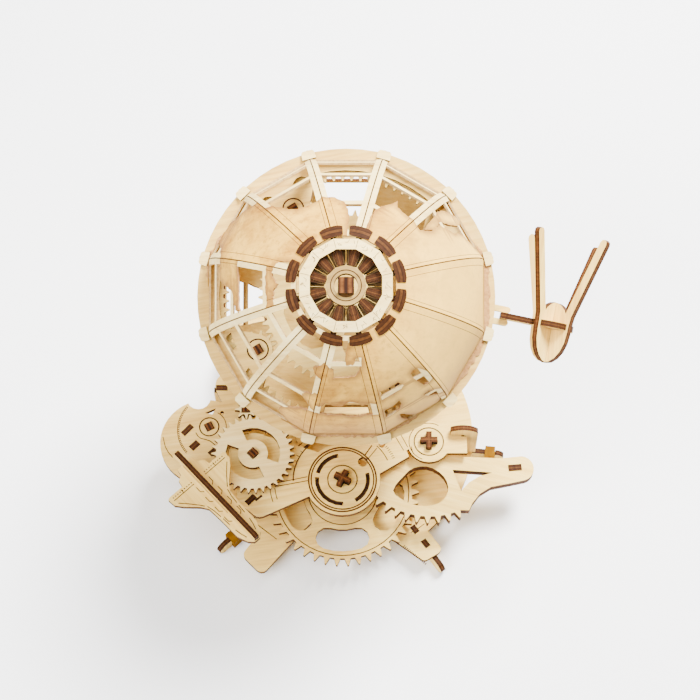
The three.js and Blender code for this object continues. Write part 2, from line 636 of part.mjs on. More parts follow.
// The ring's phase follows from the first planet's: their teeth meet on the line through both centres
function orbitRing() {
  const first = rad(PLANET_ANGLES_DEG[0]);
  const planetPhase = meshPhase(SUN, 0, PLANET, first);
  const phase = first - ((first - planetPhase) * PLANET.teeth) / RING.teeth - Math.PI / RING.teeth;
  const teeth = toothed(RING, phase, { internal: true });
  const plate = prism(circle(ORBIT_RING_OUT, 0, 0, 56), Z_RING, Z_RING + PLY, [teeth]);
  const half = PLY / 2 + GAP;
  const prongs = [1, -1].map((side) => {
    const middle = ARM_OFFSET + side * (half + PRONG_WIDTH / 2);
    const round = arc(PRONG_WIDTH / 2, rad(-90), rad(90), 6, PRONG_OUT - PRONG_WIDTH / 2, middle);
    const outline = [vec(ORBIT_RING_OUT - 4, middle - PRONG_WIDTH / 2), ...round,
      vec(ORBIT_RING_OUT - 4, middle + PRONG_WIDTH / 2)];
    return prism(outline, Z_RING, Z_RING + PLY).rotateZ(rad(ORBIT_DEG));
  });
  return piece('orbit_ring', joined(plate, ...prongs), birch());
}

// Rib along a meridian: bow from the equator to the polar hub, with a level spoke at the top
function rib(i) {
  const start = Math.asin((Z_EQUATOR + PLY + GAP) / RIB_OUT);
  const end = Math.acos(POLAR_BAND[0] / RIB_OUT);
  const outer = Array.from({ length: 10 }, (_, k) => onSphere(RIB_OUT, start + ((end - start) * k) / 9));
  const innerStart = Math.asin((Z_EQUATOR + PLY + GAP) / RIB_IN);
  const innerEnd = Math.acos(30 / RIB_IN);
  const steps = 6;
  const inner = Array.from({ length: steps + 1 }, (_, k) => {
    return onSphere(RIB_IN, innerEnd + ((innerStart - innerEnd) * k) / steps);
  });
  const top = onSphere(RIB_OUT, end).y;
  const spoke = [vec(HUB_R + GAP, top), vec(HUB_R + GAP, top - 8)];
  const shape = upright([...outer, ...spoke, ...inner], PLY - 0.4);
  return piece(`rib_${String(i + 1).padStart(2, '0')}`, shape, birch(), [0, 0, 0], ribAngle(i));
}

function northHub() {
  const shape = prism(circle(HUB_R, 0, 0, 28), HUB_TOP - 10, HUB_TOP, [circle(HUB_HOLE)]);
  return piece('north_hub', shape, birch());
}

// Twelve-sided shell of revolution from a closed profile
function shell(profile) {
  const geometry = new THREE.LatheGeometry([...profile, profile[0]], GORES);
  return geometry.rotateX(Math.PI / 2).rotateZ(ribAngle(0));
}

function polarBand() {
  const [inner, outer] = POLAR_BAND;
  const height = (r, offset) => Math.sqrt(RIB_OUT ** 2 - r ** 2) + offset;
  const profile = [vec(outer, height(outer, 1.2)), vec(outer, height(outer, 3.4)),
    vec(inner + 0.2, height(inner, 3)),
    vec(inner + 0.2, height(inner, 0.8))];
  return piece('polar_band', shell(profile), birch());
}

// Openings of the graticule: for each gore its open cells, counted up from the equator
const NORTH_OPEN = {
  1: [0], 2: [0, 1], 3: [0, 1, 2, 3], 4: [0, 1], 6: [0, 1, 2, 3], 7: [0, 1, 2, 3], 8: [1, 2, 3], 9: [0],
};
const SOUTH_OPEN = { 0: [1, 2], 3: [0, 1, 2], 6: [0, 1, 2], 9: [1, 2] };

function cell(gore, index, sign) {
  const [low, high] = [BAR_LATITUDES[index], BAR_LATITUDES[index + 1]].map(rad);
  const edge = (latitude, shift) => {
    const point = onSphere(SKIN_R, latitude);
    const half = point.x * Math.sin(Math.PI / GORES) - STRIP;
    const z = sign * (point.y + shift);
    return [vec(-half, z), vec(half, z)];
  };
  const [a, b] = edge(low, BAR_HALF + (index === 0 ? 1.5 : 0));
  const [c, d] = edge(high, -BAR_HALF);
  const outline = sign > 0 ? [a, b, d, c] : [b, a, c, d];
  const block = prism(outline, 8, 120).rotateX(Math.PI / 2).rotateZ(Math.PI / 2);
  return block.rotateZ(goreAngle(gore));
}

function openShell(sign, open, steps) {
  const first = rad(BAR_LATITUDES[0]);
  const last = rad(sign > 0 ? 70.5 : 72);
  const lats = Array.from({ length: steps + 1 }, (_, k) => first + ((last - first) * k) / steps);
  const outer = lats.map((lat) => onSphere(SKIN_R, lat));
  const inner = lats.map((lat) => onSphere(SKIN_R - SKIN_THICK, lat)).reverse();
  let profile = [...outer, ...inner];
  if (sign < 0) {
    profile = profile.map((p) => vec(p.x, -p.y)).reverse();
  }
  let body = solid(shell(profile));
  for (const [gore, cells] of Object.entries(open)) {
    body = cells.reduce((rest, index) => cut(rest, cell(Number(gore), index, sign)), body);
  }
  return body;
}

function northSkin() {
  return piece('north_skin', openShell(1, NORTH_OPEN, 8), printed());
}

// Southern half: lower ring plate, shell and polar plate in one piece
function southShell() {
  const plate = seatedRing(Z_LOWER_PLATE, Z_LOWER_PLATE + PLY);
  const collarHole = circle(EQUATOR_IN + 3, 0, 0, 36);
  const collar = prism(circle(EQUATOR_IN + 9, 0, 0, 36), Z_LOWER_PLATE - 1, Z_LOWER_PLATE + 1, [collarHole]);
  const poleZ = -SKIN_R * Math.sin(rad(72));
  const pole = prism(circle(30, 0, 0, 24), poleZ - 1, poleZ + 3, [circle(HUB_HOLE, 0, 0, 16)]);
  const body = plate.add(solid(collar)).add(openShell(-1, SOUTH_OPEN, 5)).add(solid(pole));
  return piece('south_shell', body, birch());
}

function globeGear() {
  const teeth = toothed(GLOBE_GEAR, PHASE_GLOBE_GEAR, { root: 0.4, tip: 0.14 });
  const gear = prism(teeth, GLOBE_GEAR_Z - PLY / 2, GLOBE_GEAR_Z + PLY / 2);
  const poleZ = -SKIN_R * Math.sin(rad(72)) - 1;
  const neck = prism(circle(11, 0, 0, 16), GLOBE_GEAR_Z, poleZ - GAP);
  const bore = prism(circle(HUB_HOLE, 0, 0, 16), GLOBE_GEAR_Z - 10, poleZ + 5);
  return piece('globe_gear', cut(joined(gear, neck), bore), burnt());
}

// ---------------------------------------------------------------- satellite, built about its own axis
// In the plates' outline x runs out from the globe and y along the orbit
function satellitePlate(name, roll, slotLow, slotHigh) {
  const { centre, halfWidth, halfLength } = SATELLITE_BODY;
  const oval = (from, to, steps) => arc(1, rad(from), rad(to), steps)
    .map((p) => vec(p.x * halfWidth, centre + p.y * halfLength));
  const tipAt = vec(31, 67);
  const shoulder = vec(14, 17);
  const earR = 2.7;
  const lean = Math.atan2(tipAt.y - shoulder.y, tipAt.x - shoulder.x);
  const across = vec(Math.sin(lean), -Math.cos(lean)).multiplyScalar(earR);
  const tip = arc(earR, lean - Math.PI / 2, lean + Math.PI / 2, 4, tipAt.x, tipAt.y);
  const right = [vec(halfWidth, centre), vec(15.9, 10), shoulder.clone().add(across), ...tip,
    shoulder.clone().sub(across)];
  const left = [...right].reverse().map((p) => vec(-p.x, p.y));
  const bottom = oval(180, 360, 10).slice(1, -1);
  const half = PLY / 2 + GAP;
  const slot = rectangle(-half, slotLow, half, slotHigh);
  const core = SATELLITE_CORE_R + GAP;
  const opening = rectangle(-core, ARM_OFFSET - half, core, ARM_OFFSET + half);
  const body = solid(prism([...right, ...oval(50, 130, 6), ...left, ...bottom], -PLY / 2, PLY / 2));
  const tools = [slot, opening].map((outline) => prism(outline, -PLY, PLY));
  const mesh = piece(name, cut(body, ...tools), birch());
  mesh.rotation.y = rad(roll);
  return mesh;
}

// Disc across both plates, notched where they pass
function satelliteDisc() {
  const half = PLY / 2 + GAP;
  const notches = [45, 135, 225, 315].map((degrees) => {
    const notch = prism(rectangle(SATELLITE_CORE_R - GAP, -half, SATELLITE_DISC_R + 1, half), -PLY, PLY);
    return notch.rotateZ(rad(degrees));
  });
  const round = solid(prism(circle(SATELLITE_DISC_R, 0, 0, 32), -PLY / 2, PLY / 2));
  const shape = geometryOf(cut(round, ...notches));
  return piece('satellite_disc', shape.rotateX(Math.PI / 2), birch(), [0, ARM_OFFSET, 0]);
}

// Upright arm from the orbit ring, hollowed at its end to fit round the disc
function satelliteArm() {
  const end = arc(SATELLITE_DISC_R + GAP, rad(202), rad(158), 6);
  const outline = [vec(ARM_IN - ORBIT_R, -6), ...end, vec(ARM_IN - ORBIT_R, 6)];
  return piece('satellite_arm', upright(outline, PLY), burnt(), [0, ARM_OFFSET, 0]);
}

function satellite() {
  const group = new THREE.Group();
  const at = polar(ORBIT_R, rad(ORBIT_DEG));
  group.position.set(at.x, at.y, Z_RING + PLY / 2);
  group.rotation.z = rad(ORBIT_DEG);
  const past = 30;
  group.add(
    satelliteArm(),
    satellitePlate('satellite_plate_a', 45, -GAP / 2, past),
    satellitePlate('satellite_plate_b', -45, -past, GAP / 2),
    satelliteDisc(),
  );
  return group;
}

// ---------------------------------------------------------------- assembly
function globe() {
  const group = new THREE.Group();
  group.position.set(...GLOBE_CENTRE);
  group.rotation.x = TILT;
  group.add(globeAxle(), sunGear(), northHub(), polarBand(), equatorPlate());
  group.add(northSkin(), southShell(), globeGear());
  for (let i = 0; i < GORES; i += 1) {
    group.add(rib(i));
  }
  for (let i = 0; i < PLANET_ANGLES_DEG.length; i += 1) {
    group.add(planet(i));
  }
  group.add(orbitRing(), satellite());
  return group;
}

const group = new THREE.Group();
group.position.set(...ORIGIN_SHIFT);
group.add(basePlate(), ...FEET.map(foot), ...FEET.filter((f) => f.band).map(footBand));
group.add(seasonPlate(), leftPlate(), ...POSTS.map(deckPost), hookClamp());
group.add(leverSector(), leverShaft(), bigWheel(), dialShaft(), dialCap());
group.add(leftShaft(), leftGear(), upperPinion(), transferShaft(), driveGear(), driveShaft());
group.add(mastPlate('left', -PLY / 2 - GAP), mastPlate('right', PLY / 2 + GAP), bearingBlock());
group.add(shuttleWing(), shuttleKeel(), globe());

export default group;
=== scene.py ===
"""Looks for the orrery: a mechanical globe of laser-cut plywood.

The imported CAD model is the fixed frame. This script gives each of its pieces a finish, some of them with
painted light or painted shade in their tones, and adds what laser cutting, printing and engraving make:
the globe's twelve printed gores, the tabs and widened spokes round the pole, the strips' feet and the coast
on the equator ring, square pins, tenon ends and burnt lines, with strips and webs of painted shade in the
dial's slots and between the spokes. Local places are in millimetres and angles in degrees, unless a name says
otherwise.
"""

import math
import random

import bpy
from mathutils import Matrix, Vector
from mathutils.geometry import delaunay_2d_cdt


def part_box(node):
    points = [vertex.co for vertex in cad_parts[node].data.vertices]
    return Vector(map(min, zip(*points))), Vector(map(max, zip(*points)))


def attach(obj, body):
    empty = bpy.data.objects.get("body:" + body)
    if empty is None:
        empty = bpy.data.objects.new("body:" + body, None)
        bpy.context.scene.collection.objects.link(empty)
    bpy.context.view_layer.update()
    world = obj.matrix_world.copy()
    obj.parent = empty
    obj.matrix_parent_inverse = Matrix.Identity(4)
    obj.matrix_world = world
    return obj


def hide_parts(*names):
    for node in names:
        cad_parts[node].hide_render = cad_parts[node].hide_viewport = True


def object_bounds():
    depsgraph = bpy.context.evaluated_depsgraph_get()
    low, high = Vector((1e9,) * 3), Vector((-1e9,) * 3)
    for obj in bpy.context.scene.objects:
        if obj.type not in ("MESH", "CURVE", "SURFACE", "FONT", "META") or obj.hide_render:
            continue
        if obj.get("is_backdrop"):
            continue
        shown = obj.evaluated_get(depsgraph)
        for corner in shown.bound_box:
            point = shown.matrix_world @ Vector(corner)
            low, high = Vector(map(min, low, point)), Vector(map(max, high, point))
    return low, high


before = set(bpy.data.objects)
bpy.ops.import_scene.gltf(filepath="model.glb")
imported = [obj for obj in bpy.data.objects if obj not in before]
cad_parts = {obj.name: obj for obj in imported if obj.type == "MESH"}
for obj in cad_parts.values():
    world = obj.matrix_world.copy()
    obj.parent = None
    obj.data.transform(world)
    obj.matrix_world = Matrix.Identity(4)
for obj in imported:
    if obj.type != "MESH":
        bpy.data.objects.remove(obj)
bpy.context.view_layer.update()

rad = math.radians

# ---------------------------------------------------------------- places shared with the CAD (mm)
MM = 0.001
ORIGIN_SHIFT = Vector((-21, -10.25, 0))
GLOBE_CENTRE = Vector((3, 24, 216))
TILT = rad(20)
BASE = Matrix.Translation(ORIGIN_SHIFT * MM) @ Matrix.Scale(MM, 4)
GLOBE = (
    Matrix.Translation((ORIGIN_SHIFT + GLOBE_CENTRE) * MM)
    @ Matrix.Rotation(TILT, 4, "X")
    @ Matrix.Scale(MM, 4)
)
ORBIT_DEG = -11.7  # where the satellite stands round the globe, at rest
ORBIT_R = 137.9
ORBIT_Z = -1.4  # middle height of the orbit ring's plate
SATELLITE = (
    GLOBE
    @ Matrix.Rotation(rad(ORBIT_DEG), 4, "Z")
    @ Matrix.Translation((ORBIT_R, 0, ORBIT_Z))
)


def middle_of(node):
    """Middle of a piece's box on the base, in local mm."""
    low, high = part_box(node)
    place = (Vector(low) + Vector(high)) / 2 / MM - ORIGIN_SHIFT
    return Vector((place.x, place.y))


DIAL = middle_of("dial_cap")
LEVER = middle_of("lever_shaft")
LEFT = middle_of("left_shaft")
UPPER = middle_of("transfer_shaft")
DRIVE = middle_of("drive_gear")
DIAL_TURN_DEG = -27
LEFT_TURN_DEG = 45
WASHER = Vector((-98.5, -6))
SHUTTLE_NOSE = Vector((-60, -99))
SHUTTLE_HEADING = rad(-47)
WING_TOP = 70
SHUTTLE = (
    BASE
    @ Matrix.Translation((SHUTTLE_NOSE.x, SHUTTLE_NOSE.y, WING_TOP))
    @ Matrix.Rotation(SHUTTLE_HEADING, 4, "Z")
)
PLY = 4.0
PLATE_GAP = 0.3
BASE_TOP = 16.0
DECK_TOP = 52.0
CAP_R = 11.0
EQUATOR_LOW, EQUATOR_TOP = 1.0, 5.0
WHEEL_LOW = -3.4  # underside of the gears inside the globe
GLOBE_GEAR_LOW = -108
HUB_LOW, HUB_TOP = 80, 90
ARM_LOW = 7  # near face of the satellite's arm and disc, from the plates' crossing
GORES = 12
GORE_DEG = 360 / GORES
HALF_GORE = GORE_DEG / 2
SKIN_R = 94.5
SKIN_THICK = 1.5
RIB = 3.6


def direction(matrix, vector):
    """A local direction turned into the shared frame, with unit length."""
    return (matrix.to_3x3() @ Vector(vector)).normalized()


def seam_turn(i):
    """The globe's frame turned so that +X runs to the seam after gore i."""
    return GLOBE @ Matrix.Rotation(rad(HALF_GORE + GORE_DEG * i), 4, "Z")


# ---------------------------------------------------------------- material nodes
BUMP_DEPTH = 0.2 * MM


class Graph:
    """A short way to write shader nodes."""

    def __init__(self, name):
        self.material = bpy.data.materials.new(name)
        self.material.use_nodes = True
        self.tree = self.material.node_tree
        self.shader = self.tree.nodes["Principled BSDF"]
        coordinates = self.add("ShaderNodeTexCoord")
        self.place = coordinates.outputs["Object"]
        self.normal = coordinates.outputs["Normal"]

    def add(self, kind, **settings):
        node = self.tree.nodes.new(kind)
        for key, value in settings.items():
            setattr(node, key, value)
        return node

    def put(self, socket, value):
        if isinstance(value, bpy.types.NodeSocket):
            self.tree.links.new(value, socket)
        else:
            socket.default_value = value

    def math(self, operation, *values):
        node = self.add("ShaderNodeMath", operation=operation)
        for socket, value in zip(node.inputs, values):
            self.put(socket, value)
        return node.outputs[0]

    def vector(self, operation, *values):
        node = self.add("ShaderNodeVectorMath", operation=operation)
        for socket, value in zip(node.inputs, values):
            self.put(socket, value)
        scalar = operation in ("DOT_PRODUCT", "LENGTH", "DISTANCE")
        return node.outputs["Value" if scalar else "Vector"]

    def dot(self, value, axis):
        return self.vector("DOT_PRODUCT", value, tuple(axis))

    def off_axis(self, value, axis, scale):
        """The part of a vector at right angles to axis, times scale."""
        keep = [tuple(scale * ((i == j) - axis[i] * axis[j]) for j in range(3)) for i in range(3)]
        return self.combine(*[self.dot(value, row) for row in keep])

    def step(self, value, low, high):
        """0 at low and 1 at high, smoothly, and clamped beyond them."""
        node = self.add("ShaderNodeMapRange", clamp=True, interpolation_type="SMOOTHSTEP")
        for socket, item in zip(node.inputs, (value, low, high, 0.0, 1.0)):
            self.put(socket, item)
        return node.outputs["Result"]

    def combine(self, x, y, z):
        node = self.add("ShaderNodeCombineXYZ")
        for socket, value in zip(node.inputs, (x, y, z)):
            self.put(socket, value)
        return node.outputs[0]

    def noise(self, place, scale, detail=3.0, rough=0.55, distortion=0.0):
        node = self.add("ShaderNodeTexNoise")
        self.put(node.inputs["Vector"], place)
        node.inputs["Scale"].default_value = scale
        node.inputs["Detail"].default_value = detail
        node.inputs["Roughness"].default_value = rough
        node.inputs["Distortion"].default_value = distortion
        return node.outputs["Fac"]

    def ramp(self, value, stops):
        node = self.add("ShaderNodeValToRGB")
        elements = node.color_ramp.elements
        while len(elements) > 1:
            elements.remove(elements[-1])
        elements[0].position = stops[0][0]
        elements[0].color = (*stops[0][1], 1)
        for position, colour in stops[1:]:
            elements.new(position).color = (*colour, 1)
        self.put(node.inputs[0], value)
        return node.outputs[0]

    def mix(self, factor, a, b, mode="MIX"):
        node = self.add("ShaderNodeMix", data_type="RGBA", blend_type=mode)
        self.put(node.inputs[0], factor)
        for socket, value in ((node.inputs[6], a), (node.inputs[7], b)):
            self.put(socket, value if not isinstance(value, tuple) else (*value, 1))
        return node.outputs[2]

    def finish(self, colour, rough, height=None, strength=0.3, shine=0.06):
        self.put(self.shader.inputs["Base Color"], colour)
        self.put(self.shader.inputs["Roughness"], rough)
        self.shader.inputs["Specular IOR Level"].default_value = shine
        if height is not None:
            bump = self.add("ShaderNodeBump")
            bump.inputs["Strength"].default_value = strength
            bump.inputs["Distance"].default_value = BUMP_DEPTH
            self.put(bump.inputs["Height"], height)
            self.put(self.shader.inputs["Normal"], bump.outputs[0])
        return self.material


# Linear colours; each wood is a dark, a middle and a light tone
BIRCH = [(0.60, 0.355, 0.085), (0.80, 0.54, 0.145), (0.88, 0.645, 0.22)]
CREAM = [(0.61, 0.41, 0.145), (0.80, 0.59, 0.23), (0.87, 0.69, 0.33)]
# Painted shade: birch darkened for plates that lie in shade, low in the stack or round the globe's ring
BIRCH_PAINTED_SHADE = [(0.47, 0.265, 0.062), (0.64, 0.41, 0.11), (0.74, 0.515, 0.165)]
# Painted shade: birch darkened for the hub, which sits in shade under the spokes and inside the band
HUB_PAINTED_SHADE = [(0.19, 0.108, 0.030), (0.28, 0.172, 0.050), (0.37, 0.235, 0.075)]
BROWN = [(0.055, 0.021, 0.008), (0.095, 0.040, 0.014), (0.14, 0.062, 0.022)]
EDGE_DARK = (0.020, 0.007, 0.0032)
EDGE_MID = (0.080, 0.027, 0.0075)
EDGE_LIGHT = (0.155, 0.056, 0.014)
# Painted shade in the gaps between the spokes round the pole
SPOKE_GAP_SHADE = (0.20, 0.115, 0.036)
STRIPES = [
    (0.0, EDGE_DARK), (0.07, EDGE_MID), (0.29, EDGE_MID), (0.35, EDGE_DARK), (0.40, EDGE_LIGHT),
    (0.60, EDGE_LIGHT), (0.65, EDGE_DARK), (0.71, EDGE_MID), (0.93, EDGE_MID), (1.0, EDGE_DARK),
]


def wood_face(g, axis, grain, tones):
    """Colour and height of a sliced birch face with the grain along one direction."""
    across = Vector(axis).cross(Vector(grain))
    flow = g.combine(
        g.math("MULTIPLY", g.dot(g.place, grain), 26.0),
        g.math("MULTIPLY", g.dot(g.place, across), 420.0),
        g.math("MULTIPLY", g.dot(g.place, axis), 200.0),
    )
    fibres = g.noise(flow, 1.0, 5.0, 0.6)
    broad = g.noise(g.vector("MULTIPLY", flow, (0.5, 0.045, 0.1)), 1.0, 2.0, 0.5, 0.6)
    spots = g.noise(g.place, 95.0, 3.0, 0.5)
    tone = g.math("ADD", g.math("MULTIPLY", fibres, 0.5), g.math("MULTIPLY", broad, 0.5))
    colour = g.ramp(tone, [(0.34, tones[0]), (0.5, tones[1]), (0.64, tones[2])])
    shade = g.step(spots, 0.56, 0.8)
    colour = g.mix(g.math("MULTIPLY", shade, 0.16), colour, tones[0])
    return colour, fibres


def wood_edge(g, share, across_edge):
    """Colour of a laser-cut edge: three plies with char between them and streaks from the beam."""
    colour = g.ramp(share, STRIPES)
    streaks = g.noise(across_edge, 1.0, 3.0, 0.6)
    return g.mix(g.step(streaks, 0.3, 0.72), g.mix(0.55, colour, EDGE_DARK), colour)


_plies = {}
UP_EDGE = 0.6  # colour of a cut edge that faces up, as a share of a plain cut edge's


def ply(axis, low, thick=PLY, grain=None, tones=BIRCH, tag="birch", edge_gain=1.0):
    """Plywood whose faces look along axis; low is the underside's place along that axis, in mm."""
    axis = Vector(axis).normalized()
    if grain is None:
        grain = Vector((0, 0, 1)) if abs(axis.z) < 0.9 else Vector((1, 0, 0))
    grain = (Vector(grain) - axis * axis.dot(Vector(grain))).normalized()
    key = (tag, edge_gain, tuple(round(c, 4) for c in axis), round(low, 2), thick,
           tuple(round(c, 3) for c in grain))
    if key in _plies:
        return _plies[key]
    g = Graph(f"ply_{tag}_{len(_plies) + 1:02d}")
    face, fibres = wood_face(g, axis, grain, tones)
    height = g.math("SUBTRACT", g.dot(g.place, axis), low * MM)
    share = g.math("FRACT", g.math("DIVIDE", height, thick * MM))
    streak_place = g.off_axis(g.place, axis, 650.0)
    edge = g.mix(1.0, wood_edge(g, share, streak_place), (edge_gain,) * 3, "MULTIPLY")
    facing = g.math("ABSOLUTE", g.dot(g.normal, axis))
    is_face = g.step(facing, 0.55, 0.9)
    colour = g.mix(is_face, edge, face)
    rough = g.math("ADD", g.math("MULTIPLY", fibres, 0.25), 0.5)
    _plies[key] = g.finish(colour, rough, fibres, 0.25)
    return _plies[key]


# Painted light and painted shade on the print: a lighter land colour to the right and a darker one low down
# at the front
LAND_PAINTED_LIGHT = (0.88, 0.56, 0.125)
LAND_PAINTED_SHADE = (0.28, 0.145, 0.06)
SCORCH = (0.19, 0.080, 0.026)


def shell_wood(name, tones, land=None, coast=False, cut=(EDGE_MID, EDGE_LIGHT)):
    """Thin skin round the globe's centre: printed or plain on its faces, burnt on its cut edges.

    land holds the colours of the print's blotches and speckles. The print is lighter to the right as painted
    light and darker low down at the front as painted shade. coast darkens it where the mesh's coast attribute
    nears 0.
    """
    g = Graph(name)
    centre = tuple((ORIGIN_SHIFT + GLOBE_CENTRE) * MM)
    away = g.vector("NORMALIZE", g.vector("SUBTRACT", g.place, centre))
    pole = direction(GLOBE, (0, 0, 1))
    face, fibres = wood_face(g, pole, (1, 0, 0), tones)
    if land:
        blotch = g.noise(g.place, 34.0, 4.0, 0.62, 0.4)
        face = g.mix(g.step(blotch, 0.36, 0.66), face, land[0])
        speckle = g.noise(g.place, 260.0, 4.0, 0.7)
        face = g.mix(g.math("MULTIPLY", g.step(speckle, 0.48, 0.72), 0.52), face, land[1])
        height = g.dot(g.place, pole)
        low = (ORIGIN_SHIFT + GLOBE_CENTRE).dot(pole) * MM
        # Painted light: the print turns lighter to the right. Painted shade: it turns darker low down near
        # the equator at the front.
        side = g.dot(g.place, (1.0, -0.15, 0.0))
        face = g.mix(g.math("MULTIPLY", g.step(side, -0.015, 0.055), 0.62), face, LAND_PAINTED_LIGHT)
        low_down_share = g.step(g.math("SUBTRACT", height, low), 0.050, 0.012)
        front = g.step(g.dot(g.place, (0.0, -1.0, 0.0)), -0.012, 0.05)
        painted_shade_share = g.math("MULTIPLY", g.math("MULTIPLY", low_down_share, front), 0.55)
        face = g.mix(painted_shade_share, face, LAND_PAINTED_SHADE)
    if coast:
        node = g.add("ShaderNodeAttribute", attribute_name="coast")
        near = g.step(node.outputs["Fac"], 1.0, 0.0)
        ragged = g.noise(g.place, 150.0, 3.0, 0.6)
        scorch = g.math("MULTIPLY", near, g.math("ADD", 0.25, g.math("MULTIPLY", ragged, 0.75)))
        face = g.mix(scorch, face, SCORCH)
    facing = g.math("ABSOLUTE", g.vector("DOT_PRODUCT", g.normal, away))
    streaks = g.off_axis(g.place, pole, 500.0)
    edge = g.mix(g.step(g.noise(streaks, 1.0), 0.3, 0.7), *cut)
    colour = g.mix(g.step(facing, 0.55, 0.85), edge, face)
    rough = g.math("ADD", g.math("MULTIPLY", fibres, 0.25), 0.55)
    return g.finish(colour, rough, fibres, 0.2)


def bar_end(g, centre, axis, half, plies):
    """Stripes on the end of a square bar glued from strips: char lines between the plies."""
    offset = g.vector("SUBTRACT", g.place, tuple(centre))
    across = g.math("DIVIDE", g.dot(offset, axis), 2 * half * MM)
    share = g.math("FRACT", g.math("MULTIPLY", g.math("ADD", across, 0.5), plies))
    streak = g.noise(g.vector("MULTIPLY", g.place, (300.0, 300.0, 300.0)), 1.0, 4.0, 0.6)
    colour = g.ramp(share, [(0.0, EDGE_DARK), (0.16, EDGE_DARK), (0.26, EDGE_MID), (0.5, EDGE_LIGHT),
                            (0.74, EDGE_MID), (0.84, EDGE_DARK), (1.0, EDGE_DARK)])
    return g.mix(g.step(streak, 0.32, 0.7), g.mix(0.5, colour, EDGE_DARK), colour)


def square_bar(name, matrix, turn_deg, half, plies, body_low=None):
    """Burnt square axle; where body_low is given, anything wider than the axle is birch plywood."""
    g = Graph(name)
    turned = matrix @ Matrix.Rotation(rad(turn_deg), 4, "Z")
    x, z = (direction(turned, v) for v in ((1, 0, 0), (0, 0, 1)))
    centre = turned.translation
    colour = bar_end(g, centre, x, half, plies)
    side, fibres = wood_face(g, x, z, BROWN)
    end = g.step(g.math("ABSOLUTE", g.dot(g.normal, z)), 0.5, 0.9)
    colour = g.mix(end, side, colour)
    if body_low is not None:
        offset = g.vector("SUBTRACT", g.place, tuple(centre))
        radius = g.vector("LENGTH", g.off_axis(offset, z, 1.0))
        wide = g.step(radius, (half * 1.45) * MM, (half * 1.5) * MM)
        face, _ = wood_face(g, z, (1, 0, 0), BIRCH)
        height = g.math("SUBTRACT", g.dot(g.place, z), body_low * MM)
        share = g.math("FRACT", g.math("DIVIDE", height, PLY * MM))
        edge = wood_edge(g, share, g.off_axis(g.place, z, 650.0))
        flat = g.step(g.math("ABSOLUTE", g.dot(g.normal, z)), 0.55, 0.9)
        colour = g.mix(wide, colour, g.mix(flat, edge, face))
    return g.finish(colour, g.math("ADD", g.math("MULTIPLY", fibres, 0.2), 0.55), fibres, 0.3)


CROSS_R = 6.6  # reach of a crossed axle's arms


def cross_bar(name, matrix, turn_deg, body_low):
    """Axle of two crossed plies with a plywood disc or pinion on it."""
    g = Graph(name)
    turned = matrix @ Matrix.Rotation(rad(turn_deg), 4, "Z")
    x, y, z = (direction(turned, v) for v in ((1, 0, 0), (0, 1, 0), (0, 0, 1)))
    offset = g.vector("SUBTRACT", g.place, tuple(turned.translation))
    u = g.math("ABSOLUTE", g.dot(offset, x))
    v = g.math("ABSOLUTE", g.dot(offset, y))
    share = g.math("DIVIDE", g.math("MINIMUM", u, v), PLY / 2 * MM)
    streak = g.noise(g.vector("MULTIPLY", g.place, (330.0, 330.0, 330.0)), 1.0, 4.0, 0.6)
    bar = g.ramp(share, [(0.0, EDGE_LIGHT), (0.24, EDGE_LIGHT), (0.32, EDGE_DARK), (0.44, EDGE_MID),
                         (0.84, EDGE_MID), (1.0, EDGE_DARK)])
    bar = g.mix(g.step(streak, 0.32, 0.7), g.mix(0.5, bar, EDGE_DARK), bar)
    face, fibres = wood_face(g, z, (1, 0, 0), BIRCH)
    height = g.math("SUBTRACT", g.dot(g.place, z), body_low * MM)
    edge = wood_edge(g, g.math("FRACT", g.math("DIVIDE", height, PLY * MM)), g.off_axis(g.place, z, 650.0))
    flat = g.step(g.math("ABSOLUTE", g.dot(g.normal, z)), 0.55, 0.9)
    radius = g.vector("LENGTH", g.off_axis(offset, z, 1.0))
    # The disc's birch shows beyond the arms' ends and beside the arms
    wide = g.math("MAXIMUM", g.step(radius, CROSS_R * MM, (CROSS_R + 0.15) * MM), g.step(share, 1.06, 1.14))
    colour = g.mix(wide, bar, g.mix(flat, edge, face))
    return g.finish(colour, g.math("ADD", g.math("MULTIPLY", fibres, 0.2), 0.55), fibres, 0.3)


def scorched(name, dark, light, rough):
    """A line burnt by the beam, mottled between two colours."""
    g = Graph(name)
    spots = g.noise(g.place, 420.0, 3.0, 0.6)
    return g.finish(g.ramp(spots, [(0.3, dark), (0.7, light)]), rough, spots)


def amber_rubber():
    g = Graph("amber_rubber_band")
    cloud = g.noise(g.place, 160.0, 3.0, 0.5)
    colour = g.ramp(cloud, [(0.3, (0.13, 0.050, 0.0004)), (0.7, (0.22, 0.098, 0.001))])
    rough = g.math("ADD", g.math("MULTIPLY", g.noise(g.place, 700.0), 0.2), 0.6)
    material = g.finish(colour, rough, cloud, 0.2, shine=0.03)
    g.shader.inputs["Subsurface Weight"].default_value = 0.08
    g.shader.inputs["Subsurface Radius"].default_value = (0.004, 0.002, 0.0006)
    g.shader.inputs["Subsurface Scale"].default_value = 1.0
    return material


LINE = scorched("burnt_line", (0.035, 0.012, 0.0035), (0.09, 0.033, 0.009), 0.75)
DARK = scorched("dark_line", (0.018, 0.008, 0.004), (0.055, 0.022, 0.010), 0.8)
AMBER = amber_rubber()
PRINTED = shell_wood("printed_gore", [(0.33, 0.142, 0.017), (0.48, 0.228, 0.028), (0.62, 0.325, 0.046)],
                     land=[(0.72, 0.405, 0.062), (0.24, 0.095, 0.012)], coast=True,
                     cut=[(0.32, 0.155, 0.05), (0.46, 0.25, 0.09)])
GRATICULE = shell_wood("graticule_strip", CREAM, cut=[(0.40, 0.24, 0.085), (0.58, 0.39, 0.16)])
SHELL = shell_wood("lower_shell", BIRCH)


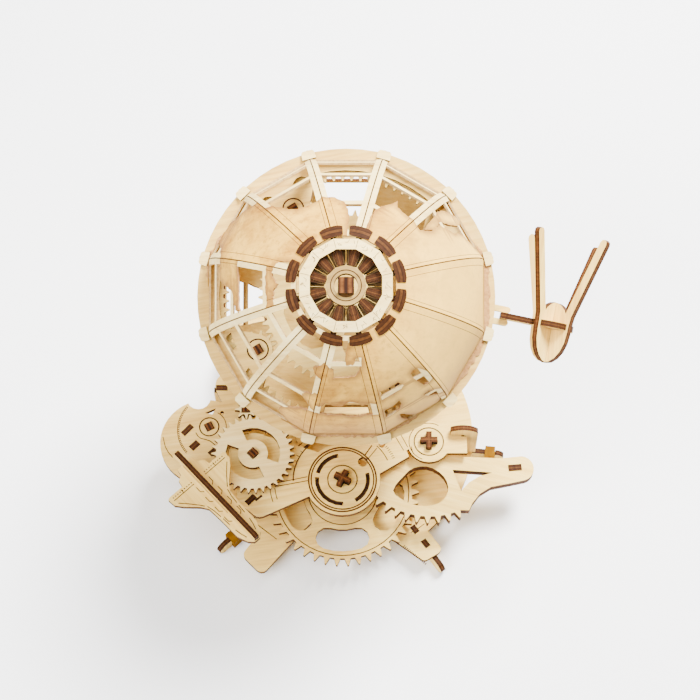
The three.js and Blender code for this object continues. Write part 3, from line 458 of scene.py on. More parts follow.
# ---------------------------------------------------------------- finishes of the CAD pieces
def dress(node, material):
    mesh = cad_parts[node].data
    mesh.materials.clear()
    mesh.materials.append(material)


def level(node, thick=PLY, **options):
    """A plate that lies flat: its layers start at its underside."""
    dress(node, ply((0, 0, 1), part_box(node)[0].z / MM, thick, **options))


def along(axis, point):
    """How far a point (in metres) lies along an axis, in mm."""
    return Vector(axis).normalized().dot(Vector(point)) / MM


def standing(node, matrix, axis, low, thick=PLY, **options):
    """An upright plate whose local face direction is axis and whose layers start at low (local mm)."""
    world = direction(matrix, axis)
    start = matrix @ (Vector(axis) * low)
    dress(node, ply(world, along(world, start), thick, **options))


# The left gear and upper pinion take the lighter cream tones as painted light, to stand out from the plates
# below; the left plate and drive gear take birch darkened as painted shade
for nodes, tones, tag in (
    (("base_plate", "season_plate", "big_wheel", "dial_cap"), BIRCH, "birch"),
    (("left_gear", "upper_pinion"), CREAM, "cream"),
    (("left_plate", "drive_gear"), BIRCH_PAINTED_SHADE, "painted_shade"),
):
    for node in nodes:
        level(node, grain=(1, 0.15, 0), tones=tones, tag=tag)
level("lever_sector", 3.8, grain=(1, -0.3, 0))
level("shuttle_wing", grain=(1, -1.07, 0))
FEET = {"front_left": -136.5, "front_right": -54, "right": -5.7, "left": -176, "rear": 90}
for name, angle in FEET.items():
    spin = BASE @ Matrix.Rotation(rad(angle), 4, "Z")
    standing(f"foot_{name}", spin, (0, 1, 0), -PLY / 2, edge_gain=UP_EDGE)
    if f"foot_band_{name}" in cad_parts:
        dress(f"foot_band_{name}", AMBER)
POSTS = {"front": (-66.6, -62.6, 45), "left": (-94.5, -25, 42), "rear": (-90, 25, 0)}
for name, (x, y, angle) in POSTS.items():
    spin = BASE @ Matrix.Translation((x, y, 0)) @ Matrix.Rotation(rad(angle), 4, "Z")
    standing(f"deck_post_{name}", spin, (0, 1, 0), -PLY / 2, edge_gain=UP_EDGE)
standing("hook_clamp", BASE @ Matrix.Translation((0, LEVER.y + 7, 0)), (0, 1, 0), -PLY / 2)
standing("mast_left", BASE, (1, 0, 0), GLOBE_CENTRE.x - PLATE_GAP - PLY)
standing("mast_right", BASE, (1, 0, 0), GLOBE_CENTRE.x + PLATE_GAP)
standing("bearing_block", BASE, (1, 0, 0), GLOBE_CENTRE.x - 3 * PLY)
standing("shuttle_keel", SHUTTLE, (0, 1, 0), -PLY / 2, grain=(1, -1.07, 0), edge_gain=UP_EDGE)
# The equator ring's darker tones are painted shade
standing("equator_plate", GLOBE, (0, 0, 1), EQUATOR_LOW, grain=(1, 0.2, 0), tones=BIRCH_PAINTED_SHADE, tag="painted_shade")
for node in ("sun_gear", "orbit_ring", "planet_gear_1", "planet_gear_2", "planet_gear_3", "planet_gear_4"):
    standing(node, GLOBE, (0, 0, 1), WHEEL_LOW, grain=(1, 0.2, 0))
standing("globe_gear", GLOBE, (0, 0, 1), GLOBE_GEAR_LOW, grain=(1, 0.2, 0))
# The hub's darker tones are painted shade
standing("north_hub", GLOBE, (0, 0, 1), HUB_LOW, HUB_TOP - HUB_LOW, grain=(1, 0.2, 0), tones=HUB_PAINTED_SHADE,
         tag="hub")
standing("polar_band", GLOBE, (0, 0, 1), 88, 9, grain=(1, 0.2, 0), tones=CREAM, tag="cream")
for i in range(GORES):
    standing(f"rib_{i + 1:02d}", seam_turn(i), (0, 1, 0), -RIB / 2, RIB, edge_gain=UP_EDGE)
for node, roll in (("satellite_plate_a", 45), ("satellite_plate_b", -45)):
    standing(node, SATELLITE @ Matrix.Rotation(rad(roll), 4, "Y"), (0, 0, 1), -PLY / 2, grain=(0, 1, 0.3))
for node in ("satellite_disc", "satellite_arm"):
    standing(node, SATELLITE, (0, 1, 0), ARM_LOW, edge_gain=UP_EDGE)
dress("south_shell", SHELL)
dress("dial_shaft", cross_bar("dial_axle", BASE @ Matrix.Translation((*DIAL, 0)), DIAL_TURN_DEG, 35))
dress("lever_shaft", cross_bar("lever_axle", BASE @ Matrix.Translation((*LEVER, 0)), 0, 48))
# low is the underside of the axle's pinion
for node, place, turn, low in (("left_shaft", LEFT, LEFT_TURN_DEG, 20), ("transfer_shaft", UPPER, 0, 28),
                               ("drive_shaft", DRIVE, 0, 104)):
    dress(node, square_bar(node + "_axle", BASE @ Matrix.Translation((*place, 0)), turn, 3, 2, low))
dress("globe_axle", square_bar("pole_axle", GLOBE, 0, 5, 2))


# ---------------------------------------------------------------- meshes
def build(name, body, matrix, verts, faces, materials, face_materials=None, smooth_angle=None):
    """A mesh from local points in mm, riding on a body."""
    mesh = bpy.data.meshes.new(name)
    mesh.from_pydata([matrix @ Vector(v) for v in verts], [], faces)
    for material in materials:
        mesh.materials.append(material)
    if face_materials:
        mesh.polygons.foreach_set("material_index", face_materials)
    mesh.validate()
    if smooth_angle is not None:
        mesh.polygons.foreach_set("use_smooth", [True] * len(mesh.polygons))
        mesh.set_sharp_from_angle(angle=rad(smooth_angle))
    mesh.update()
    piece = bpy.data.objects.new(name, mesh)
    bpy.context.scene.collection.objects.link(piece)
    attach(piece, body)
    return piece


def circle(r, cx=0.0, cy=0.0, start=0.0, end=360.0, steps=48):
    """Points on an arc; a full circle repeats its first point."""
    return [
        (cx + r * math.cos(rad(start + (end - start) * i / steps)),
         cy + r * math.sin(rad(start + (end - start) * i / steps)))
        for i in range(steps + 1)
    ]


LINE_DEPTH, LINE_RISE = 0.25, 0.06
LINE_GAIN = 1.3  # the beam's scorch is wider than its path


def line_mesh(paths, top, rise=LINE_RISE):
    """Burnt lines in a flat face: each path is (points, width), a closed strip sunk into the face."""
    verts, faces = [], []
    for points, width in paths:
        points = [Vector(p) for p in points]
        closed = (points[0] - points[-1]).length < 1e-6
        if closed:
            points = points[:-1]
        count = len(points)
        start = len(verts)
        for i, p in enumerate(points):
            before = points[i - 1] if i or closed else p
            after = points[(i + 1) % count] if i < count - 1 or closed else p
            ahead = (after - before).normalized()
            side = Vector((-ahead.y, ahead.x)) * width / 2
            for z in (top + rise, top - LINE_DEPTH):
                for sign in (1, -1):
                    q = p + side * sign
                    verts.append((q.x, q.y, z))
        last = count if closed else count - 1
        for i in range(last):
            a, b = start + 4 * i, start + 4 * ((i + 1) % count)
            faces += [(a, a + 1, b + 1, b), (a + 2, b + 2, b + 3, a + 3),
                      (a, b, b + 2, a + 2), (a + 1, a + 3, b + 3, b + 1)]
        if not closed:
            end = start + 4 * (count - 1)
            faces += [(start, start + 2, start + 3, start + 1), (end, end + 1, end + 3, end + 2)]
    return verts, faces


def engrave(name, body, matrix, top, paths, material=None, gain=LINE_GAIN):
    verts, faces = line_mesh([(points, width * gain) for points, width in paths], top)
    return build(name, body, matrix, verts, faces, [material or LINE])


def prism(outline, low, high, verts, faces):
    """Adds a closed upright prism over a counter-clockwise outline."""
    start, count = len(verts), len(outline)
    verts += [(x, y, z) for z in (low, high) for x, y in outline]
    faces.append(tuple(start + i for i in reversed(range(count))))
    faces.append(tuple(start + count + i for i in range(count)))
    for i in range(count):
        j = (i + 1) % count
        faces.append((start + i, start + j, start + count + j, start + count + i))


def turned_box(cx, cy, length, width, angle):
    turn = Matrix.Rotation(rad(angle), 2)
    corners = [(-1, -1), (1, -1), (1, 1), (-1, 1)]
    return [tuple(Vector((cx, cy)) + turn @ Vector((sx * length / 2, sy * width / 2))) for sx, sy in corners]


# ---------------------------------------------------------------- the globe's printed gores
LAT_LOW = 3.4
LAT_HIGH = 70.0
RIM_LOW = 4.9  # the gore's solid rims end at these latitudes
RIM_HIGH = 67.6
GAP = 0.15  # between a gore's side and the seam
SEAM = 0.42
STRIP = 3.9
LEFT_LINE = (2.5, 2.8)  # lines along the land's sides, from and to, measured from the seam
RIGHT_LINE = (4.6, 4.9)
BAR_BASE = (22.0, 37.0, 56.0)
BAR_HALF = 0.95
ROWS, COLUMNS = 33, 14
COAST_FADE = 4.5  # mm over which the print's scorched coast fades
MM_PER_DEGREE = 1.65
FULL = [(-20, 0), (20, 0), (20, 75), (-20, 75)]

# Land outlines as (azimuth, latitude) in degrees, azimuth counted from the middle of the gore
LAND = {
    0: [FULL],
    1: [[(-16, 75), (16, 75), (16, 50), (8, 50), (5.5, 46.5), (4, 44), (5, 38), (1, 33.5), (-2, 30.5),
         (-2.5, 26), (-4, 22.5), (-7.5, 18.5), (-10.5, 16), (-11.7, 10), (-11.5, 0), (-16, 0)],
        [(4, 43), (6.5, 47.5), (8.5, 44), (9.5, 38.5), (11, 33.5), (10, 29), (7.5, 24), (5, 16), (2.5, 14),
         (1, 19), (1.5, 26), (3, 31), (6, 36)]],
    2: [[(-16, 75), (12.5, 75), (11, 66), (11, 60), (9.5, 56), (6.5, 52.5), (3, 49.8), (1, 47.5),
         (-0.5, 44.8), (-2.5, 48.5), (-7, 49.6), (-12, 49.8), (-16, 50.5)]],
    3: [[(16, 75), (-1.5, 75), (-1.7, 66), (-2.8, 62), (-1.5, 57.5), (1.5, 53.5), (7, 51.2), (16, 51)]],
    4: [[(-16, 75), (16, 75), (16, 38.5), (11.5, 40), (10, 42.5), (7, 46.5), (3, 49.5), (-3, 51), (-10, 52),
         (-16, 51)]],
    5: [[(-16, 75), (6.5, 75), (7, 66), (8.5, 62.5), (12, 60.5), (16, 60), (16, 27), (13.5, 26), (11, 23),
         (9.5, 19), (8, 14), (7.5, 0), (-2.5, 0), (-1.8, 10), (-3.5, 17), (-6, 20.5), (-8.5, 23), (-11, 27.5),
         (-14, 30.5), (-16, 31.5)]],
    6: [[(-16, 60), (-8, 59.5), (-4, 61), (-2, 62.3), (0.5, 61.5), (3, 60), (16, 60), (16, 57), (6, 56.8),
         (0, 56.2), (-16, 56.5)],
        [(-16, 41), (-2, 41.3), (6, 41.5), (13, 42), (10.5, 39.5), (5, 38.2), (0.5, 37), (-1.5, 34),
         (-2.5, 31), (-5, 27.5), (-10, 26.5), (-16, 27)]],
    8: [[(16, 59.5), (11, 56), (7.5, 53.5), (11, 51.2), (16, 50)],
        [(16, 42.5), (13, 43), (11.5, 41), (8.5, 40.2), (7, 38.5), (9, 36.5), (12, 34.5), (13, 33), (16, 33)],
        [(16, 32), (12, 31), (7.5, 28), (3, 24.5), (0, 20.5), (-0.3, 17), (1, 13.5), (3.5, 10), (4.5, 6),
         (4.8, 0), (16, 0)]],
    9: [[(16, 75), (5, 68.5), (1.5, 66), (-0.5, 62.5), (-0.7, 60), (0, 57.3), (5, 57.3), (6.5, 58.5),
         (7.5, 60.8), (12.3, 60.8), (11, 57), (7.5, 53.8), (5, 52), (-8, 51.2), (-8.5, 55), (-12, 56.5),
         (-16, 58.5), (-16, 36.5), (-13, 35.2), (-10, 37.8), (-6, 36), (-2, 35.6), (2, 38.5), (5, 38),
         (8, 35.8), (11, 37.5), (16, 37.5)],
        [(-16, 31.5), (-12, 30.6), (-9, 29.5), (-2, 29.6), (0, 28.5), (6, 28), (10, 29.8), (16, 30),
         (16, 0), (-16, 0)]],
    10: [FULL],
    11: [FULL],
}
HOLES = {
    10: [[(-12, 42.6), (-8, 42), (-1, 42.2), (1, 39), (-1, 37.4), (-12, 37.4)],
         [(7.2, 39.5), (7.5, 43), (10, 44.2), (12.5, 43), (14.6, 39.5), (14.5, 33.5), (12, 32), (9.5, 32),
          (8.5, 36)],
         [(-12.5, 31), (-9, 30), (-4.2, 31.5), (-3.5, 27.5), (-5.2, 25.2), (-9, 24.3), (-12.2, 24.5)],
         [(7, 25.5), (9.5, 26.5), (12, 25), (14.7, 22.5), (14.5, 18), (11.5, 20), (9.5, 21.5)],
         [(-6.5, 20.5), (-4.5, 19), (-2, 13), (0.5, 6), (0.8, 4.4), (-3.2, 4.4), (-4, 8), (-6, 15)],
         [(12.6, 12.5), (14.6, 11), (14.6, 4.4), (10.2, 4.4), (11, 6)]],
}
NO_BARS = (0, 11)


def gore_place(gore, azimuth, latitude, r=SKIN_R):
    """Local point of the twelve-sided skin; azimuth is counted from the gore's middle."""
    flat = r * math.cos(rad(latitude)) * math.cos(rad(HALF_GORE))
    across = flat * math.tan(rad(azimuth))
    turn = rad(GORE_DEG * gore)
    return (flat * math.cos(turn) - across * math.sin(turn), flat * math.sin(turn) + across * math.cos(turn),
            r * math.sin(rad(latitude)))


def azimuth_at(latitude, inset):
    """Azimuth of the line that runs inset millimetres from the gore's side."""
    flat = SKIN_R * math.cos(rad(latitude)) * math.cos(rad(HALF_GORE))
    return math.degrees(math.atan((flat * math.tan(rad(HALF_GORE)) - inset) / flat))


def inset_of(azimuth, latitude):
    """How far a point of a gore lies from the gore's nearer side, in mm."""
    flat = SKIN_R * math.cos(rad(latitude)) * math.cos(rad(HALF_GORE))
    return flat * (math.tan(rad(HALF_GORE)) - math.tan(rad(abs(azimuth))))


def inside(point, outline):
    """Whether a point lies inside an outline: a ray from it crosses the outline an odd number of times."""
    x, y = point
    hit = False
    for i, (x1, y1) in enumerate(outline):
        x0, y0 = outline[i - 1]
        if (y0 > y) != (y1 > y) and x < (x1 - x0) * (y - y0) / (y1 - y0) + x0:
            hit = not hit
    return hit


def ragged(outline, draw, amount=0.32, spacing=1.3):
    """A coast: each side of the outline cut into short steps with small offsets."""
    points = []
    for i, b in enumerate(outline):
        a = outline[i - 1]
        length = math.hypot((b[0] - a[0]) * 0.75, b[1] - a[1])
        steps = max(1, round(length / spacing))
        for k in range(1, steps):
            t = k / steps
            shift = draw.uniform(-amount, amount)
            nx, ny = (a[1] - b[1]) / length, (b[0] - a[0]) / length
            points.append((a[0] + (b[0] - a[0]) * t + nx * shift, a[1] + (b[1] - a[1]) * t + ny * shift))
        points.append(b)
    return points


def bar_middles(gore):
    """Latitudes of a gore's cross bars, which lean a little round the globe."""
    if gore in NO_BARS:
        return []
    lean = -2.0 * math.sin(rad(GORE_DEG * gore))
    return [base + lean for base in BAR_BASE]


def gore_mesh(gore):
    """The gore flattened to azimuth and latitude: points, kept triangles, their materials and its coast."""
    draw = random.Random(40 + gore)
    lands = [ragged(o, draw) if o is not FULL else o for o in LAND.get(gore, [])]
    holes = [ragged(o, draw, 0.2) for o in HOLES.get(gore, [])]
    bars = bar_middles(gore)
    points, edges = [], []

    def chain(line, closed=False):
        start = len(points)
        points.extend(Vector((a, b)) for a, b in line)
        edges.extend((start + i, start + i + 1) for i in range(len(line) - 1))
        if closed:
            edges.append((start + len(line) - 1, start))

    lats = [LAT_LOW + (LAT_HIGH - LAT_LOW) * k / ROWS for k in range(ROWS + 1)]
    for inset in (GAP, SEAM, *LEFT_LINE, STRIP, *RIGHT_LINE):
        for side in (-1, 1):
            chain([(side * azimuth_at(lat, inset), lat) for lat in lats])
    for lat in lats:
        edge = azimuth_at(lat, GAP)
        chain([(edge * (2 * k / COLUMNS - 1), lat) for k in range(COLUMNS + 1)])
    for middle in bars:
        for lat in (middle - BAR_HALF, middle + BAR_HALF):
            edge = azimuth_at(lat, GAP)
            chain([(-edge, lat), (edge, lat)])
    for outline in lands + holes:
        if outline is not FULL:
            chain([(max(-19.0, min(19.0, a)), max(1.0, min(73.0, b))) for a, b in outline], closed=True)
    flat, _, triangles, _, _, _ = delaunay_2d_cdt(points, edges, [], 0, 1e-4)
    kept, kinds = [], []
    for triangle in triangles:
        a = sum(flat[i].x for i in triangle) / 3
        lat = sum(flat[i].y for i in triangle) / 3
        inset = inset_of(a, lat)
        if inset < GAP or not LAT_LOW < lat < LAT_HIGH:
            continue
        land = any(inside((a, lat), o) for o in lands) and not any(inside((a, lat), o) for o in holes)
        on_bar = any(abs(lat - middle) < BAR_HALF for middle in bars)
        if not (land or on_bar or inset < STRIP or lat < RIM_LOW or lat > RIM_HIGH):
            continue
        near, far = LEFT_LINE if a < 0 else RIGHT_LINE
        line = inset < SEAM or (land and near < inset < far)
        kept.append(tuple(triangle))
        kinds.append(2 if line else 0 if land else 1)
    coast = [(o[i - 1], o[i]) for o in lands + holes if o is not FULL for i in range(len(o))]
    coast = [(p, q) for p, q in coast if abs(p[0] + q[0]) < 29.8 and 1 < (p[1] + q[1]) / 2 < 71]
    return flat, kept, kinds, coast


def coast_distance(point, coast):
    """Share of the way (0 at the coast, 1 inland) over a few millimetres."""
    scale = math.cos(rad(point[1]))
    best = 9.0
    for (ax, ay), (bx, by) in coast:
        ux, uy = (bx - ax) * scale, by - ay
        px, py = (point[0] - ax) * scale, point[1] - ay
        length = ux * ux + uy * uy
        t = max(0.0, min(1.0, (px * ux + py * uy) / length)) if length > 0 else 0.0
        best = min(best, math.hypot(px - t * ux, py - t * uy))
    return min(1.0, best * MM_PER_DEGREE / COAST_FADE)


def build_gore(gore):
    """Both faces of a gore and the rim between them."""
    flat, kept, kinds, coast = gore_mesh(gore)
    used = sorted({i for t in kept for i in t})
    index = {old: new for new, old in enumerate(used)}
    n = len(used)
    outer = [gore_place(gore, flat[i].x, flat[i].y) for i in used]
    inner = [gore_place(gore, flat[i].x, flat[i].y, SKIN_R - SKIN_THICK) for i in used]
    faces, materials, rim = [], [], {}
    for triangle, kind in zip(kept, kinds):
        t = [index[i] for i in triangle]
        faces.append(tuple(t))
        faces.append(tuple(i + n for i in reversed(t)))
        materials += [kind, 0 if kind == 0 else 1]
        for i in range(3):
            a, b = t[i], t[(i + 1) % 3]
            if (b, a) in rim:
                del rim[(b, a)]
            else:
                rim[(a, b)] = kind
    for (a, b), kind in rim.items():
        faces.append((b, a, a + n, b + n))
        materials.append(1 if kind == 1 else 0)
    piece = build(f"gore_{gore + 1:02d}", "globe", GLOBE, outer + inner, faces,
                  [PRINTED, GRATICULE, LINE], materials, 32)
    share = [coast_distance(flat[i], coast) for i in used]
    attribute = piece.data.attributes.new("coast", "FLOAT", "POINT")
    attribute.data.foreach_set("value", share + share)
    return piece


gores = [build_gore(gore) for gore in range(GORES)]
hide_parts("north_skin")


# ---------------------------------------------------------------- tabs round the pole
TAB_IN, TAB_OUT = 31.2, 38.2
TAB_LOW, TAB_OUT_TOP, TAB_IN_TOP = 84.6, 87.0, 89.2
TAB_HALF_DEG = 11.6
TAB_STEPS = 8


def tab_wood():
    """Plywood bent round the pole: its layers run outward from it."""
    g = Graph("tab_ply")
    pole = direction(GLOBE, (0, 0, 1))
    offset = g.off_axis(g.vector("SUBTRACT", g.place, tuple(GLOBE.translation)), pole, 1.0)
    radius = g.vector("LENGTH", offset)
    share = g.math("DIVIDE", g.math("SUBTRACT", radius, TAB_IN * MM), (TAB_OUT - TAB_IN) * MM)
    face, fibres = wood_face(g, pole, (1, 0, 0), BIRCH)
    edge = wood_edge(g, share, g.vector("MULTIPLY", g.place, (420.0, 420.0, 420.0)))
    edge = g.mix(1.0, edge, (UP_EDGE * 0.9,) * 3, "MULTIPLY")
    facing = g.math("ABSOLUTE", g.vector("DOT_PRODUCT", g.normal, g.vector("NORMALIZE", offset)))
    is_face = g.step(facing, 0.55, 0.85)
    rough = g.math("ADD", g.math("MULTIPLY", fibres, 0.2), 0.55)
    return g.finish(g.mix(is_face, edge, face), rough, fibres)


TAB = tab_wood()
for i in range(GORES):
    verts, faces = [], []
    for k in range(TAB_STEPS + 1):
        bend = 2 * k / TAB_STEPS - 1
        angle = rad(HALF_GORE + GORE_DEG * i + TAB_HALF_DEG * bend)
        pinch = 0.75 * bend ** 4
        for r, z in ((TAB_IN + pinch, TAB_LOW), (TAB_OUT - pinch, TAB_LOW), (TAB_OUT - pinch, TAB_OUT_TOP),
                     (TAB_IN + pinch, TAB_IN_TOP)):
            verts.append((r * math.cos(angle), r * math.sin(angle), z))
    for k in range(TAB_STEPS):
        a, b = 4 * k, 4 * k + 4
        faces += [(a + j, b + j, b + (j + 1) % 4, a + (j + 1) % 4) for j in range(4)]
    faces += [(3, 2, 1, 0), tuple(4 * TAB_STEPS + j for j in range(4))]
    faces = [tuple(reversed(f)) for f in faces]
    build(f"polar_tab_{i + 1:02d}", "globe", GLOBE, verts, faces, [TAB], smooth_angle=35)

# ---------------------------------------------------------------- pins and burnt lines of the globe
PLANET_R = 68.4
PLANET_DEG = (31, 121, 211, 301)
PIN = 6.2  # side of a planet's square pin
SEAT_R = 6.9
seat_lines = []
for i, angle in enumerate(PLANET_DEG):
    x, y = PLANET_R * math.cos(rad(angle)), PLANET_R * math.sin(rad(angle))
    seat_lines.append((circle(SEAT_R, x, y), 0.8))
    verts, faces = [], []
    prism(turned_box(x, y, PIN, PIN, angle), EQUATOR_LOW + 0.2, EQUATOR_TOP + 1.7, verts, faces)
    pin = square_bar(f"planet_pin_wood_{i + 1}", GLOBE @ Matrix.Translation((x, y, 0)), angle, PIN / 2, 2)
    build(f"planet_pin_{i + 1}", "globe", GLOBE, verts, faces, [pin])
engrave("seat_lines", "globe", GLOBE, EQUATOR_TOP, seat_lines, DARK)


def spoke_wood():
    """Stripes that repeat with every spoke round the pole; the low webs between them carry painted shade,
    dark for the gaps.
    """
    g = Graph("spoke_wood")
    x, y, z = (direction(GLOBE, v) for v in ((1, 0, 0), (0, 1, 0), (0, 0, 1)))
    offset = g.vector("SUBTRACT", g.place, tuple(GLOBE.translation))
    turn = g.math("ARCTAN2", g.dot(offset, y), g.dot(offset, x))
    share = g.math("FRACT", g.math("ADD", g.math("MULTIPLY", turn, GORES / math.tau), GORES))
    colour = g.ramp(share, [
        (0.0, SPOKE_GAP_SHADE), (0.17, SPOKE_GAP_SHADE), (0.20, EDGE_DARK), (0.26, EDGE_MID), (0.36, EDGE_LIGHT),
        (0.41, EDGE_DARK), (0.59, EDGE_DARK), (0.64, EDGE_LIGHT), (0.74, EDGE_MID), (0.80, EDGE_DARK),
        (0.83, SPOKE_GAP_SHADE), (1.0, SPOKE_GAP_SHADE),
    ])
    streaks = g.noise(g.off_axis(g.place, z, 380.0), 1.0, 4.0, 0.6)
    colour = g.mix(g.step(streaks, 0.3, 0.7), g.mix(0.5, colour, EDGE_DARK), colour)
    colour = g.mix(1.0, colour, (UP_EDGE,) * 3, "MULTIPLY")
    return g.finish(colour, 0.68, streaks, 0.3)


# Cheeks widen the ribs' ends into spokes, and webs below them put painted shade in the gaps
SPOKE = spoke_wood()
SPOKE_IN, SPOKE_OUT = 13.2, 22.6
SPOKE_SIDE = RIB / 2 + 0.15
CHEEK = (2.6, 3.6, 84.6, 88.6)  # half width at the hub and at the band, underside, top
WEB = (3.25, 5.75, 81.0, 84.6)
for i in range(GORES):
    verts, faces = [], []
    for side in (1, -1):
        for half_in, half_out, low, high in (WEB, CHEEK):
            outline = [(SPOKE_IN, SPOKE_SIDE * side), (SPOKE_OUT, SPOKE_SIDE * side),
                       (SPOKE_OUT, half_out * side), (SPOKE_IN, half_in * side)]
            prism(outline if side > 0 else outline[::-1], low, high, verts, faces)
    build(f"spoke_cheeks_{i + 1:02d}", "globe", seam_turn(i), verts, faces, [SPOKE])

# Feet of the gores' strips, which lap over the equator ring
FOOT_IN, FOOT_MIDDLE, FOOT_ROUND = 94.8, 98.4, 2.6
FOOT_HIGH, FOOT_SLOPE = 7.9, 0.30
POLE = direction(GLOBE, (0, 0, 1))
STRIP_FOOT = ply(POLE, along(POLE, GLOBE @ Vector((0, 0, EQUATOR_TOP))), 3, tones=CREAM, tag="strip_foot")
for i in range(GORES):
    outline = [(FOOT_IN, -4.7), (98.6, -4.5)] + [
        (FOOT_MIDDLE + FOOT_ROUND * math.cos(rad(a)), math.copysign(2.0, a) + FOOT_ROUND * math.sin(rad(a)))
        for a in (-75, -50, -25, 25, 50, 75)] + [(98.6, 4.5), (FOOT_IN, 4.7)]
    count = len(outline)
    verts = [(x, y, EQUATOR_TOP + 0.06) for x, y in outline]
    verts += [(x, y, FOOT_HIGH - FOOT_SLOPE * (x - FOOT_IN)) for x, y in outline]
    faces = [tuple(reversed(range(count))), tuple(count + k for k in range(count))]
    faces += [(k, (k + 1) % count, count + (k + 1) % count, count + k) for k in range(count)]
    build(f"strip_foot_{i + 1:02d}", "globe", seam_turn(i), verts, faces, [STRIP_FOOT])

# Land that laps over the ring, with a ragged coast
LAP_STEP_DEG = 1.2
LAPS = (("east", -43.0, 24.0, 3.6), ("south", -118.0, -52.0, 1.7), ("west", 152.0, 176.0, 1.6))
lap_draw = random.Random(11)
for name, start, end, reach in LAPS:
    steps = round((end - start) / LAP_STEP_DEG)
    verts, faces, share = [], [], []
    for k in range(steps + 1):
        a = start + (end - start) * k / steps
        local = (a + HALF_GORE) % GORE_DEG - HALF_GORE
        inner = SKIN_R * math.cos(rad(LAT_LOW)) * math.cos(rad(HALF_GORE)) / math.cos(rad(local)) + 0.25
        taper = min(1.0, 6.0 * k / steps, 6.0 * (steps - k) / steps)
        outer = inner + max(0.5, (reach + lap_draw.uniform(-0.9, 0.9)) * taper)
        for r, z in ((inner, 5.1), (outer, 5.1), (outer, 5.75), (inner, 6.5)):
            verts.append((r * math.cos(rad(a)), r * math.sin(rad(a)), z))
        share += [1.0, 0.25, 0.25, 1.0]
    for k in range(steps):
        p, q = 4 * k, 4 * k + 4
        faces += [(p + j, p + (j + 1) % 4, q + (j + 1) % 4, q + j) for j in range(4)]
    faces += [(3, 2, 1, 0), tuple(4 * steps + j for j in range(4))]
    lap = build(f"coast_lap_{name}", "globe", GLOBE, verts, faces, [PRINTED])
    lap.data.attributes.new("coast", "FLOAT", "POINT").data.foreach_set("value", share)

engrave("hub_line", "globe", GLOBE, HUB_TOP, [(circle(9.6), 0.5)], DARK)

BAND_IN, BAND_IN_TOP = 23.2, 92.08
BAND_OUT, BAND_OUT_TOP = 30.0, 90.37


def band_height(x, y):
    """Top of the twelve-sided band round the pole."""
    angle = math.degrees(math.atan2(y, x)) % GORE_DEG
    corner_r = math.hypot(x, y) * math.cos(rad(min(angle, GORE_DEG - angle))) / math.cos(rad(HALF_GORE))
    return BAND_IN_TOP - (corner_r - BAND_IN) * (BAND_IN_TOP - BAND_OUT_TOP) / (BAND_OUT - BAND_IN)


def engrave_sloped(name, body, matrix, height, paths, material, rise=0.03):
    """Burnt lines on a face whose height changes from place to place."""
    verts, faces = line_mesh(paths, 0, rise=rise)
    verts = [(x, y, z + height(x, y)) for x, y, z in verts]
    return build(name, body, matrix, verts, faces, [material])


def polar_points(r0, a0, r1, a1, steps=1):
    """Points from one radius and angle to another."""
    return [
        ((r0 + (r1 - r0) * k / steps) * math.cos(rad(a0 + (a1 - a0) * k / steps)),
         (r0 + (r1 - r0) * k / steps) * math.sin(rad(a0 + (a1 - a0) * k / steps)))
        for k in range(steps + 1)
    ]


crack_draw = random.Random(7)
cracks = []
for i in range(GORES):
    middle = GORE_DEG * i
    cracks.append((polar_points(23.8, middle + HALF_GORE, 29.6, middle + HALF_GORE, 2), 0.3))
    for k in range(4):
        a = middle + crack_draw.uniform(-13, 13)
        r = crack_draw.uniform(24, 27.5)
        bend = crack_draw.uniform(-3.5, 3.5)
        cracks.append((polar_points(r, a, r + crack_draw.uniform(1.2, 2.6), a + bend, 2), 0.26))
        if k < 2:
            cracks.append((polar_points(r, a, r + 0.2, a + 3.4, 1), 0.26))
engrave_sloped("polar_band_lines", "globe", GLOBE, band_height, cracks, LINE)

# ---------------------------------------------------------------- burnt lines of the deck
DIAL_CIRCLES = [(circle(24.7, *DIAL), 0.95), (circle(22.9, *DIAL), 0.8)]
engrave("dial_circles", "root", BASE, DECK_TOP, DIAL_CIRCLES)
for name, place in (("dial", DIAL), ("lever", LEVER)):
    engrave(f"{name}_cap_ring", name, BASE, DECK_TOP, [(circle(CAP_R - 0.4, *place), 0.45)], DARK)
# Painted shade: dark strips low in the dial's three slots, where the slots fall into shadow
SLOT_MIDDLE_R, SLOT_SHADE_WIDTH = 18.7, 2.8
slot_shade_strips = [(circle(SLOT_MIDDLE_R, *DIAL, start, end, 16), SLOT_SHADE_WIDTH)
               for start, end in ((102, 163), (177, 270), (-58, 13))]
engrave("dial_slot_painted_shade", "root", BASE, DECK_TOP - 2.4, slot_shade_strips, DARK, gain=1.0)


def arc_round(centre, r, start, end, steps=14):
    return circle(r, centre.x, centre.y, start, end, steps)


def tick(angle, r0, r1):
    """A short line that points away from the dial's middle; angle in radians."""
    return [(DIAL.x + r * math.cos(angle), DIAL.y + r * math.sin(angle)) for r in (r0, r1)]


